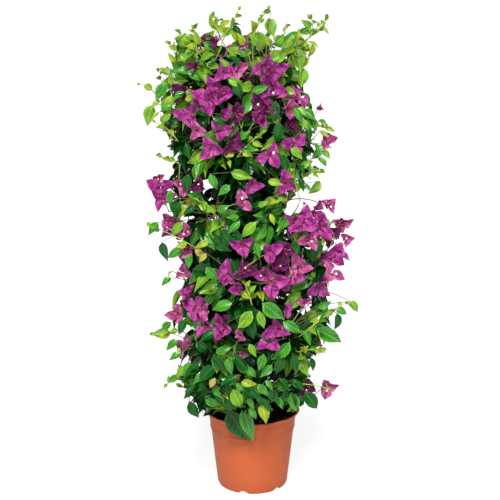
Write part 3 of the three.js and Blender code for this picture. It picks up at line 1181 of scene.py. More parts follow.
@dataclass
class NurseryPot:
    """A round nursery pot with a banded shoulder, a flared lip and arched drain notches."""

    height: float = 162.0
    foot_radius: float = 66.0
    wall_foot_radius: float = 71.6
    shoulder_radius: float = 84.3
    shoulder_height: float = 123.0
    band_top_radius: float = 88.3
    lip_height: float = 11.0
    lip_radius: float = 95.5
    wall: float = 1.8
    floor: float = 5.0
    sides: int = 180
    notches: int = 6
    notch_azimuth: float = 254.7
    notch_width: float = 20.0
    notch_height: float = 4.8
    notch_slope: float = 0.4
    notch_inner: float = 52.0
    hole_radius: float = 4.0
    bead: Section = ((0.5, 0.0), (1.5, 0.5), (1.9, 1.4), (1.9, 2.2), (1.5, 2.9), (1.3, 3.6))
    lip_flare: Section = ((1.5, 5.6), (0.4, 6.6), (0.0, 7.6))
    lip_edge: Section = ((0.0, 1.4), (0.3, 0.6), (0.9, 0.1), (1.5, 0.0), (2.2, 0.1), (2.6, 0.6))

    def profile(self) -> list[tuple[float, float]]:
        """Gives the wall's section: up outside from the middle of the foot, and down inside.

        Returns:
            The section's points, as radius and height.
        """
        lip_foot = self.height - self.lip_height
        outer = [(0.0, 0.0), (self.notch_inner, 0.0), (self.foot_radius - 3, 0.0)]
        for turn in range(0, 91, 15):
            angle = math.radians(turn)
            outer.append((self.foot_radius + 5.2 * math.sin(angle), 5.6 * (1 - math.cos(angle))))
        foot, shoulder = outer[-1][0], self.shoulder_radius
        for height in (9.0, 40.0, 70.0, 100.0, 113.6, 114.4, 115.2, 116.0, self.shoulder_height - 1):
            share = (height - 5.6) / (self.shoulder_height - 5.6)
            raised = 0.25 if 114.0 < height < 115.6 else 0.0
            outer.append((between(foot, shoulder, share) + raised, height))
        band = self.shoulder_height
        outer += [(shoulder + out, band + up) for out, up in self.bead]
        top, lip, neck = self.height, self.lip_radius, self.band_top_radius
        for share in (0.3, 0.55, 0.8):
            outer.append((between(shoulder + 1.3, neck, share), between(band + 3.6, lip_foot, share)))
        outer += [(neck, lip_foot), (neck + 0.9, lip_foot + 0.5), (between(neck, lip, 0.42), lip_foot + 3.2)]
        outer += [(lip - off, lip_foot + up) for off, up in self.lip_flare]
        outer += [(lip - off, top - down) for off, down in self.lip_edge]
        inner = [(lip - 2.9, top - 1.6), (neck - self.wall + 1.6, lip_foot + 1.2)]
        inner += [(neck - self.wall + 0.5, lip_foot - 0.6)]
        inner += [(self.shoulder_radius - self.wall, self.shoulder_height)]
        inner += [(self.wall_foot_radius - self.wall, self.floor + 5), (self.foot_radius - 4, self.floor)]
        return outer + inner + [(0.0, self.floor)]

    def lift_notches(self, bm: bmesh.types.BMesh) -> None:
        """Lifts the foot into an arch at each drain notch.

        Args:
            bm: The turned wall.
        """
        for vert in bm.verts:
            radius = math.hypot(vert.co.x, vert.co.y)
            beyond = radius - self.foot_radius
            ceiling = self.floor - 0.1 if beyond < 0 else self.floor + 2
            if vert.co.z > ceiling or radius < self.notch_inner - 1:
                continue
            turn = math.degrees(math.atan2(vert.co.y, vert.co.x)) - self.notch_azimuth
            spacing = 360 / self.notches
            off = (turn + spacing / 2) % spacing - spacing / 2
            aside = abs(math.radians(off)) * radius / (self.notch_width / 2)
            if aside < 1:
                lifted = self.notch_height * math.sqrt(1 - aside * aside)
                vert.co.z = max(vert.co.z, lifted * (1 + self.notch_slope * max(beyond, 0.0) / self.floor))

    def build(self) -> None:
        """Turns the wall's section into the pot and cuts its drain holes."""
        bm = revolved(self.profile(), self.sides)
        self.lift_notches(bm)
        seal(bm)
        pot = object_of("pot_shell", bm)
        cutter_mesh = bmesh.new()
        for index in range(self.notches):
            azimuth = self.notch_azimuth + 360 * index / self.notches
            place = Matrix.Translation(outward(azimuth) * (self.notch_inner + 2 * self.hole_radius))
            bmesh.ops.create_cone(
                cutter_mesh, cap_ends=True, segments=20, radius1=self.hole_radius,
                radius2=self.hole_radius, depth=4 * self.floor, matrix=place,
            )
        cutter = object_of("hole_cutter", cutter_mesh)
        cut = pot.modifiers.new("holes", "BOOLEAN")
        cut.operation, cut.object, cut.solver = "DIFFERENCE", cutter, "EXACT"
        settled = pot.evaluated_get(bpy.context.evaluated_depsgraph_get())
        holed = bpy.data.meshes.new_from_object(settled)
        pot.modifiers.clear()
        pot.data = holed
        bpy.data.objects.remove(cutter)
        mark_creases(pot, 38.0)
        dress(pot, PotPlastic().make(), "pot_plastic", "pot")


def mark_creases(piece: bpy.types.Object, degrees: float) -> None:
    """Makes the edges that turn more than an angle sharp, and the rest smooth.

    Args:
        piece: The object.
        degrees: The angle.
    """
    bm = bmesh.new()
    bm.from_mesh(piece.data)
    for edge in bm.edges:
        edge.smooth = edge.calc_face_angle(0.0) < math.radians(degrees)
    bm.to_mesh(piece.data)
    bm.free()


@dataclass
class PottedSoil:
    """The soil that fills the pot, uneven on top, with chips and white grains lying on it."""

    pot: NurseryPot
    top: float = 150.0
    edge: float = 146.0
    level_radius: float = 26.0
    gap: float = 0.3
    relief: float = 2.4
    chips: int = 210
    grains: int = 46
    sides: int = 96
    steps: int = 26

    def profile(self) -> list[tuple[float, float]]:
        """Gives the fill's section, from the middle of the top, out and down to the floor.

        Returns:
            The section's points, as radius and height.
        """
        pot = self.pot
        share = (self.edge - pot.shoulder_height) / (pot.height - pot.lip_height - pot.shoulder_height)
        wide = between(pot.shoulder_radius - pot.wall, pot.band_top_radius - pot.wall + 0.5, share) - self.gap
        radii = [wide * step / self.steps for step in range(self.steps + 1)]
        top = [(radius, self.level(radius, wide)) for radius in radii]
        down = [(pot.shoulder_radius - pot.wall - self.gap, pot.shoulder_height - 1)]
        down += [(pot.wall_foot_radius - pot.wall - self.gap, pot.floor + 5 + self.gap)]
        down += [(pot.foot_radius - 5, pot.floor + self.gap)]
        return top + down + [(0.0, pot.floor + self.gap)]

    def level(self, radius: float, wide: float) -> float:
        """Gives the soil's mean height at a radius."""
        return between(self.top, self.edge, ease(radius, self.level_radius, wide)) - self.relief * 0.4

    def height_at(self, x: float, y: float) -> float:
        """Gives the height of the uneven surface over a place.

        Args:
            x: The place's X.
            y: The place's Y.

        Returns:
            The height.
        """
        wide = 85.0
        radius = math.hypot(x, y)
        calm = 1 - ease(radius, wide - 8, wide)
        bumps = noise.noise(Vector((x, y, 0)) * 0.11) + 0.6 * noise.noise(Vector((x, y, 9)) * 0.3)
        return self.level(radius, wide) + self.relief * bumps * calm

    def build(self) -> None:
        """Builds the fill and scatters the loose bits."""
        bm = revolved(self.profile(), self.sides)
        for vert in bm.verts:
            if vert.co.z > self.edge - self.relief:
                vert.co.z = self.height_at(vert.co.x, vert.co.y)
        seal(bm)
        dress(object_of("soil_fill", bm), PottingMix().make(), "soil", "potting_soil")
        chips = Crumb("bark_chip", shade(126, 92, 60), shade(60, 40, 26))
        grains = Crumb("white_grain", shade(226, 222, 210), shade(176, 170, 156))
        self.scatter("soil_chips", chips, self.chips, (1.6, 4.2), (1.0, 0.55, 0.4), Seed.CHIPS)
        self.scatter("soil_grains", grains, self.grains, (0.9, 1.9), (1.0, 0.9, 0.8), Seed.GRAINS)

    def scatter(self, name: str, finish: Crumb, count: int, sizes: tuple[float, float], form: Place,
                seed: int) -> None:
        """Scatters small lumps over the soil, half sunk in it.

        Args:
            name: The piece's name.
            finish: The lumps' finish.
            count: How many.
            sizes: The least and the largest half length.
            form: The lump's half sizes as shares of its half length.
            seed: The seed of the draws.
        """
        draw = Draws(seed)
        bm = bmesh.new()
        bmesh.ops.create_icosphere(bm, subdivisions=1, radius=1.0)
        for vert in bm.verts:
            vert.co *= 1 + 0.25 * noise.noise(vert.co * 1.7)
        lump = Shape.of(bm)
        lumps = Joined()
        for _ in range(count):
            radius, azimuth = 80 * math.sqrt(draw(0.05, 1)), draw(0, 360)
            size = draw(*sizes)
            place = outward(azimuth) * radius
            place.z = self.height_at(place.x, place.y) + size * form[2] * 0.2
            turn = Matrix.Rotation(draw(0, math.tau), 3, "Z") @ Matrix.Rotation(draw(-0.4, 0.4), 3, "X")
            turned = (lump.places * np.array(form) * size) @ np.array(turn.transposed())
            lumps.add(lump, turned + np.array(place))
        dress(lumps.make(name), finish.make(), "soil")


# The stem and the canes

@dataclass
class BarkedWood:
    """The main stem and its canes, with the relief of their bark."""

    habit: Habit
    canes: list[Spline]

    def limb(self, node: str, path: Path, radius_at: Callable[[float, float], float], sides: int,
             steps: int) -> None:
        """Builds one limb as a closed tube along its path.

        Args:
            node: The solid that it replaces.
            path: The limb's middle line.
            radius_at: The radius from the share of the length and the angle.
            sides: Faces round the limb.
            steps: Faces along it.
        """
        rings = rings_along(path, steps)
        bm = bmesh.new()
        bmesh.ops.create_grid(bm, x_segments=sides, y_segments=steps, size=0.5)
        for vert in bm.verts:
            step = round((vert.co.y + 0.5) * steps)
            angle = math.tau * (vert.co.x + 0.5)
            middle, side, over = rings[step]
            radius = radius_at(step / steps, angle)
            vert.co = middle + (side * math.cos(angle) + over * math.sin(angle)) * radius
        bmesh.ops.remove_doubles(bm, verts=list(bm.verts), dist=0.001)
        seal(bm)
        dress(object_of(f"{node}_bark", bm), Bark(f"{node}_bark_bark").make(), "bark", node)

    def stem(self) -> None:
        """Builds the short main stem: a lobed flare at the soil and a knuckle at the fork."""
        habit = self.habit
        foot = habit.soil_top + habit.gap
        lean = habit.stem_lean
        path = Bow(
            Vector((-lean * 0.4, 0, foot - habit.stem_buried)),
            Vector((lean, 0, foot + habit.stem_height * 0.4)),
            Vector((lean * 0.4, 0, habit.soil_top + habit.stem_height)),
        )

        def radius_at(along: float, angle: float) -> float:
            """Gives the stem's radius with its flare, lobes, knuckle and bark.

            Args:
                along: The share of the length.
                angle: The angle round it.

            Returns:
                The radius.
            """
            flare = (habit.stem_foot - habit.stem_radius) * (1 - along) ** 4
            knuckle = (habit.stem_head - habit.stem_radius) * ease(along, 0.55, 0.9)
            lobes = 1 + 0.14 * (1 - along) ** 3 * math.cos(3 * angle + 0.6)
            around = Vector((math.cos(angle), math.sin(angle), 0))
            furrows = noise.noise(around * 2.6 + UP * (along * 1.6)) * 0.9
            grain = noise.noise(around * 7 + UP * (along * 6)) * 0.35
            closing = 3.2 * ease(along, 0.94, 1.0)
            return (habit.stem_radius + flare) * lobes + knuckle - closing + furrows + grain

        self.limb("main_stem", path, radius_at, 48, 40)

    def cane(self, index: int) -> None:
        """Builds one cane: tapering, ridged, with a swollen joint where each leaf once stood.

        Args:
            index: The cane's number.
        """
        habit = self.habit
        joints = Draws(Seed.JOINTS + index)
        places = [0.08 + 0.042 * step + joints(-0.012, 0.012) for step in range(22)]

        def radius_at(along: float, angle: float) -> float:
            """Gives the cane's radius with its ridges and joints.

            Args:
                along: The share of the length.
                angle: The angle round it.

            Returns:
                The radius.
            """
            base = between(habit.cane_radius, habit.cane_tip, along)
            swollen = sum(math.exp(-((along - place) / 0.0055) ** 2) for place in places) * 0.16
            around = Vector((math.cos(angle), math.sin(angle), 0))
            ridges = noise.noise(around * 2.2 + UP * (along * 14 + index * 5))
            grain = noise.noise(around * 6 + UP * (along * 60))
            return base * (1 + swollen + ridges * 0.12 + grain * 0.05)

        self.limb(f"cane_{index + 1}", self.canes[index], radius_at, 16, 260)

    def build(self) -> None:
        """Builds the stem and every cane."""
        self.stem()
        for index in range(self.habit.canes):
            self.cane(index)


# Foliage

class Tint(Enum):
    """The leaf colours, from the near-black painted shade of the leaves inside the bush to its newest shoots.
    """

    # Near-black green for the leaves inside the bush: painted shade, not a leaf colour of its own
    PAINTED_SHADE = "deep"
    DARK = "dark"
    MID = "mid"
    FRESH = "fresh"
    LIME = "lime"
    YELLOW = "yellow"


class Bloom(Enum):
    """The bract colours."""

    PURPLE = "purple"
    # Paler pink: partly the bracts' own pinker colour, partly painted light for blossoms that catch the light
    LIT_PINK = "pink"
    # Dark plum: partly the darker colour of half-open blossoms, partly painted shade for blossoms that lie in
    # shade
    SHADED_PLUM = "plum"


LEAF_SKINS = {
    # The first skin is painted shade: near-black green for the leaves inside the bush
    Tint.PAINTED_SHADE: LeafSkin("leaf_painted_shade", shade(2, 24, 5), shade(5, 40, 9), shade(22, 74, 25), 0.14, 0.16),
    Tint.DARK: LeafSkin("leaf_dark", shade(5, 57, 12), shade(13, 90, 21), shade(72, 142, 54), 0.14, 0.24),
    Tint.MID: LeafSkin("leaf_mid", shade(29, 103, 22), shade(72, 148, 38), shade(138, 187, 80), 0.18, 0.34),
    Tint.FRESH: LeafSkin("leaf_fresh", shade(74, 126, 20), shade(124, 168, 38), shade(178, 204, 86), 0.24),
    Tint.LIME: LeafSkin("leaf_lime", shade(106, 134, 16), shade(154, 174, 38), shade(196, 206, 92), 0.3),
    Tint.YELLOW: LeafSkin(
        "leaf_yellow", shade(138, 130, 40), shade(176, 160, 78), shade(196, 182, 120), 0.44,
    ),
}
BRACT_SKINS = {
    Bloom.PURPLE: BractSkin("bract_purple", shade(140, 16, 118), shade(208, 98, 174), shade(126, 8, 74)),
    # Pink bracts: a paler copy of the purple, partly painted light
    Bloom.LIT_PINK: BractSkin("bract_lit_pink", shade(162, 44, 120), shade(230, 140, 188), shade(146, 18, 76)),
    # Plum bracts: a darker copy of the purple, partly painted shade
    Bloom.SHADED_PLUM: BractSkin("bract_shaded_plum", shade(68, 4, 54), shade(138, 42, 108), shade(60, 4, 36)),
}

# Blossoms seen at the front: column, row, size and how far they are open, by colour
PURPLE_BLOSSOMS = (
    (225, 71, 1.1, 0.9), (265, 64, 1.14, 1.0), (269, 72, 1.1, 0.9), (187, 114, 1.05, 0.9),
    (208, 99, 1.2, 1.0), (219, 96, 1.2, 1.0), (221, 131, 1.0, 0.9), (211, 148, 1.0, 1.0),
    (275, 90, 1.13, 0.9), (297, 95, 1.14, 1.0), (271, 155, 1.14, 1.0), (295, 144, 1.12, 0.9),
    (160, 187, 1.14, 1.0), (162, 198, 1.1, 0.9), (253, 183, 1.0, 0.6), (286, 182, 1.12, 0.9),
    (304, 221, 1.3, 0.9), (320, 226, 1.3, 0.9), (334, 257, 1.3, 1.0), (242, 244, 1.0, 1.0),
    (270, 250, 1.05, 0.9), (272, 281, 1.25, 1.0), (292, 277, 1.0, 0.9), (228, 275, 1.15, 1.0),
    (238, 288, 0.8, 0.7), (265, 274, 0.9, 0.8), (188, 293, 0.9, 0.8), (193, 305, 1.1, 0.9),
    (204, 325, 1.14, 1.0), (221, 327, 1.2, 1.0), (278, 328, 1.05, 0.8), (269, 340, 1.1, 0.9),
    (318, 287, 1.14, 0.8), (260, 118, 0.9, 0.7), (224, 114, 0.8, 0.7), (287, 308, 0.75, 0.5),
)
# Blossoms painted paler pink: partly their own colour, partly painted light where they catch it
LIT_PINK_BLOSSOMS = (
    (238, 67, 1.05, 0.6), (289, 109, 1.12, 0.8), (197, 130, 0.85, 0.7), (319, 108, 0.5, 0.1),
    (328, 140, 1.0, 0.6), (308, 112, 0.6, 0.4), (184, 183, 0.95, 0.6), (157, 179, 0.8, 0.5),
    (169, 220, 1.13, 0.8), (186, 231, 0.85, 0.7), (189, 248, 0.95, 0.6), (242, 201, 0.9, 0.7),
    (309, 238, 1.05, 0.8), (329, 204, 0.85, 0.5), (341, 223, 1.05, 0.7), (347, 238, 0.75, 0.5),
    (299, 266, 1.14, 0.9), (331, 272, 1.14, 0.9), (183, 271, 0.75, 0.7), (177, 314, 1.05, 0.7),
    (204, 309, 0.75, 0.7), (304, 302, 0.7, 0.5), (181, 345, 1.0, 0.8), (327, 385, 1.05, 0.8),
    (243, 354, 0.5, 0.3), (240, 335, 0.65, 0.4), (245, 44, 0.7, 0.3), (214, 43, 0.7, 0.4),
)
# Blossoms painted dark plum: half-open ones, and ones that lie in shade, where the colour is painted shade
SHADED_PLUM_BLOSSOMS = (
    (211, 38, 1.1, 0.4), (194, 68, 0.75, 0.4), (181, 91, 1.05, 0.45), (261, 107, 1.14, 0.9),
    (238, 113, 0.95, 0.9), (234, 142, 1.05, 0.9), (198, 186, 0.8, 0.7), (291, 125, 0.8, 0.6),
    (315, 168, 0.55, 0.4), (329, 234, 1.12, 0.9), (286, 250, 1.13, 0.9), (277, 265, 1.0, 0.9),
    (246, 270, 0.95, 0.9), (308, 387, 0.9, 0.7),
)
FRONT_BLOSSOMS = {Bloom.PURPLE: PURPLE_BLOSSOMS, Bloom.LIT_PINK: LIT_PINK_BLOSSOMS, Bloom.SHADED_PLUM: SHADED_PLUM_BLOSSOMS}

# Blossoms in the shade between the canes, given the dark plum colour that paints their shade
SHADED_BLOSSOMS = ((248, 84, 1.0, 0.8), (251, 98, 1.1, 0.9), (246, 112, 1.0, 0.8))

# Blossoms half hidden by those in front
HIDDEN_BLOSSOMS = (
    (277, 68, 1.0, 0.8), (268, 86, 1.0, 0.8), (214, 87, 1.0, 0.8), (268, 108, 1.0, 0.8),
    (171, 228, 0.9, 0.8), (317, 211, 0.9, 0.8),
)

# Leaves seen at the front, by colour: foot and tip as column and row
DARK_LEAVES = (
    (233, 26, 242, 35), (234, 82, 242, 99), (276, 101, 274, 123), (196, 105, 212, 118), (213, 117, 225, 125),
    (279, 122, 277, 144), (280, 154, 289, 171), (300, 178, 305, 191), (221, 228, 231, 247),
    (228, 409, 247, 444), (213, 355, 227, 374), (233, 355, 250, 370), (196, 341, 209, 354),
    (282, 355, 277, 376), (293, 355, 297, 373), (237, 375, 221, 386), (305, 392, 319, 411),
    (189, 401, 200, 418), (337, 313, 338, 332), (186, 320, 176, 335), (216, 393, 222, 406),
    (226, 396, 231, 413), (257, 394, 262, 406), (270, 392, 280, 404), (286, 388, 284, 400),
    (252, 382, 243, 394), (222, 380, 232, 394), (207, 378, 198, 392), (196, 366, 184, 378),
    (200, 378, 187, 390), (194, 388, 184, 399), (280, 378, 290, 390), (294, 380, 304, 391),
    (263, 398, 270, 411), (290, 393, 296, 409), (201, 362, 188, 370), (193, 372, 182, 384),
    (199, 384, 188, 394), (240, 64, 232, 56), (216, 58, 208, 66), (312, 358, 314, 371), (293, 241, 299, 255),
    (321, 303, 317, 313), (162, 242, 167, 262), (246, 385, 258, 400), (262, 386, 275, 400),
    (214, 330, 200, 342), (186, 143, 191, 160), (181, 203, 172, 214), (176, 199, 170, 211),
    (215, 366, 196, 381), (303, 55, 305, 67), (194, 206, 184, 216), (320, 241, 313, 260),
    (307, 120, 316, 123), (299, 160, 305, 173), (306, 128, 312, 140), (189, 174, 185, 193),
    (179, 213, 169, 205),
)
MID_LEAVES = (
    (264, 354, 259, 372), (272, 365, 261, 378), (247, 367, 256, 378), (258, 384, 268, 396),
    (167, 83, 154, 101), (171, 72, 190, 76), (188, 71, 206, 79), (301, 36, 283, 37), (293, 42, 273, 44),
    (253, 92, 267, 86), (294, 108, 303, 122), (210, 174, 217, 191), (230, 185, 218, 195),
    (183, 248, 167, 258), (158, 222, 148, 235), (240, 221, 228, 234), (313, 277, 289, 291),
    (283, 322, 302, 332), (290, 342, 274, 362), (303, 331, 312, 344), (171, 322, 159, 332),
    (250, 407, 256, 421), (205, 399, 220, 407), (290, 393, 299, 414), (172, 104, 159, 111),
    (304, 110, 316, 118), (246, 56, 238, 50), (277, 397, 283, 409), (178, 340, 165, 350),
    (181, 352, 169, 360), (306, 117, 316, 126), (318, 158, 328, 164), (302, 184, 312, 190),
    (336, 308, 347, 314), (318, 308, 331, 303), (320, 314, 334, 311), (212, 388, 222, 398),
    (236, 383, 246, 393), (266, 380, 273, 390), (248, 398, 254, 409), (204, 372, 194, 384),
    (184, 92, 172, 100), (278, 389, 290, 386), (189, 362, 184, 375), (216, 353, 230, 347),
    (320, 148, 314, 160), (255, 243, 261, 257), (206, 267, 218, 282), (262, 303, 285, 320),
    (316, 329, 343, 342), (190, 254, 187, 269), (232, 303, 211, 309), (217, 211, 228, 206),
    (239, 217, 227, 218), (300, 33, 308, 28), (315, 351, 323, 352), (303, 119, 310, 132),
    (306, 163, 312, 172), (315, 143, 322, 156), (311, 119, 318, 130), (243, 407, 252, 443),
    (171, 190, 168, 206), (171, 278, 160, 284), (204, 42, 217, 51),
)
FRESH_LEAVES = (
    (167, 82, 187, 79), (206, 64, 221, 67), (258, 31, 262, 53), (268, 18, 275, 36), (233, 28, 222, 37),
    (194, 37, 178, 44), (195, 48, 182, 61), (291, 148, 303, 158), (231, 173, 252, 176), (199, 205, 215, 212),
    (256, 222, 240, 238), (252, 311, 238, 330), (322, 313, 301, 320), (233, 389, 241, 411),
    (350, 301, 359, 311), (320, 181, 311, 195), (228, 79, 245, 86), (249, 344, 257, 356),
    (299, 402, 289, 413), (170, 113, 160, 123), (206, 40, 214, 30), (256, 45, 250, 34), (236, 58, 228, 50),
    (228, 66, 220, 60), (276, 44, 284, 34), (299, 120, 309, 128), (186, 366, 175, 376), (297, 108, 307, 114),
    (322, 151, 331, 157), (301, 167, 311, 161), (346, 302, 356, 309), (153, 105, 144, 126),
    (171, 333, 152, 336), (259, 311, 264, 330), (183, 222, 170, 236), (258, 206, 267, 202),
    (294, 50, 304, 70), (303, 68, 304, 87), (168, 98, 163, 112),
)
LIME_LEAVES = (
    (220, 25, 230, 21), (213, 27, 209, 17), (313, 44, 310, 58), (200, 44, 194, 32), (244, 45, 238, 34),
    (252, 141, 262, 147), (262, 403, 267, 424), (241, 382, 256, 385), (248, 38, 256, 30), (270, 45, 264, 36),
    (284, 47, 291, 38), (300, 46, 308, 39), (296, 40, 300, 30), (192, 46, 184, 39), (176, 62, 168, 54),
    (302, 66, 310, 58), (238, 40, 230, 32), (160, 100, 150, 107), (159, 112, 151, 118), (318, 31, 326, 24),
    (321, 27, 330, 32), (224, 32, 216, 25), (176, 384, 184, 387), (180, 348, 176, 358), (322, 346, 316, 355),
    (172, 95, 166, 113), (185, 100, 195, 96), (271, 11, 262, 13), (303, 33, 313, 31), (270, 214, 275, 225),
    (234, 154, 226, 157), (229, 160, 231, 167), (268, 181, 282, 184), (321, 127, 328, 124),
    (325, 127, 335, 131), (209, 242, 195, 247), (172, 271, 168, 277), (320, 131, 329, 136),
)
YELLOW_LEAVES = (
    (215, 378, 209, 388), (195, 249, 206, 258), (206, 253, 199, 262),
)
FRONT_LEAVES = {
    Tint.DARK: DARK_LEAVES, Tint.MID: MID_LEAVES, Tint.FRESH: FRESH_LEAVES, Tint.LIME: LIME_LEAVES,
    Tint.YELLOW: YELLOW_LEAVES,
}

# Slender shoots seen against the sky or over the leaves: foot and tip as column and row, and their leaves
WANDS = (
    (197, 52, 194, 29, 4), (220, 36, 212, 18, 3), (223, 40, 239, 10, 6), (253, 37, 268, 9, 5),
    (312, 34, 311, 18, 4), (301, 48, 325, 20, 6), (180, 56, 170, 44, 3), (172, 80, 164, 69, 2),
    (157, 95, 140, 84, 1), (178, 141, 155, 122, 3), (180, 164, 162, 157, 3), (237, 157, 263, 132, 6),
    (252, 305, 244, 283, 4), (300, 336, 346, 303, 7), (308, 122, 322, 123, 3), (303, 178, 318, 172, 4),
    (296, 60, 306, 47, 5), (285, 56, 296, 44, 5), (196, 248, 150, 226, 5), (184, 332, 154, 334, 3),
    (186, 374, 167, 384, 4), (222, 398, 238, 378, 3), (302, 384, 326, 388, 0), (300, 200, 293, 172, 4),
    (265, 205, 283, 200, 3), (195, 198, 222, 222, 4), (298, 352, 322, 350, 4),
)

# The edges of the leafy body as seen from the front: row, left column and right column
SILHOUETTE = (
    (0, 184, 312), (30, 182, 312), (50, 172, 307), (70, 167, 308), (90, 160, 308), (104, 155, 318),
    (120, 156, 316), (132, 164, 312), (150, 170, 318), (166, 177, 315), (180, 163, 306), (190, 166, 298),
    (204, 168, 288), (212, 170, 284), (220, 171, 300), (235, 170, 341), (248, 176, 344), (262, 182, 340),
    (276, 182, 336), (292, 180, 330), (304, 170, 330), (325, 160, 336), (340, 160, 332), (352, 168, 320),
    (362, 176, 313), (375, 174, 309), (390, 182, 313), (402, 188, 302), (416, 198, 296), (421, 252, 253),
    (500, 252, 253),
)

# Places left bare at the front, where sky or the pot shows: column, row, half width and half height
BARE_PATCHES = (
    (207, 184, 5, 9), (200, 218, 6, 5), (186, 331, 4, 6), (300, 198, 9, 7), (210, 199, 4, 4),
    (175, 195, 3, 4), (186, 218, 6, 5), (169, 234, 7, 8), (174, 258, 6, 9), (197, 287, 3, 4),
    (213, 218, 9, 5), (325, 251, 4, 10), (270, 377, 4, 6), (275, 405, 3, 5), (283, 213, 3, 5),
    (286, 232, 5, 5), (277, 48, 5, 4), (307, 309, 6, 5), (178, 326, 4, 5), (229, 43, 9, 4),
    (255, 426, 46, 13), (219, 421, 12, 9), (288, 421, 12, 9),
)


@dataclass(frozen=True)
class Growth:
    """How twigs, leaves and blossoms are set on a mass's stem."""

    twigs: int = 9
    twig_length: float = 58.0
    twig_spread: float = 12.0
    twig_opening: float = 60.0
    side_twigs: int = 2
    side_length: float = 32.0
    leaves: int = 6
    side_leaves: int = 4
    leaf_length: float = 42.0
    young_length: float = 24.0
    opening: float = 0.95
    tries: int = 7
    apart: float = 5.6
    bract_apart: float = 7.5
    bract_length: float = 28.0
    inner_leaves: int = 60
    side_shoots: int = 26
    side_sprays: int = 48
    thin_from: float = 884.0


@dataclass
class Crowd:
    """The points already taken by blades, so that others keep a little apart from them."""

    cell: float = 12.0
    taken: dict[tuple[int, int, int], list[Vector]] = field(default_factory=dict)

    def key(self, point: Vector) -> tuple[int, int, int]:
        """Gives the cell that a point falls in."""
        return tuple(int(place // self.cell) for place in point)

    def free(self, points: list[Vector], gap: float) -> bool:
        """Tells whether every point keeps a gap to all that are taken.

        Args:
            points: The points to try.
            gap: The least distance.

        Returns:
            True if there is room.
        """
        for point in points:
            for key in product(*((place - 1, place, place + 1) for place in self.key(point))):
                if any((other - point).length < gap for other in self.taken.get(key, ())):
                    return False
        return True

    def take(self, points: list[Vector]) -> None:
        """Takes points."""
        for point in points:
            self.taken.setdefault(self.key(point), []).append(point)


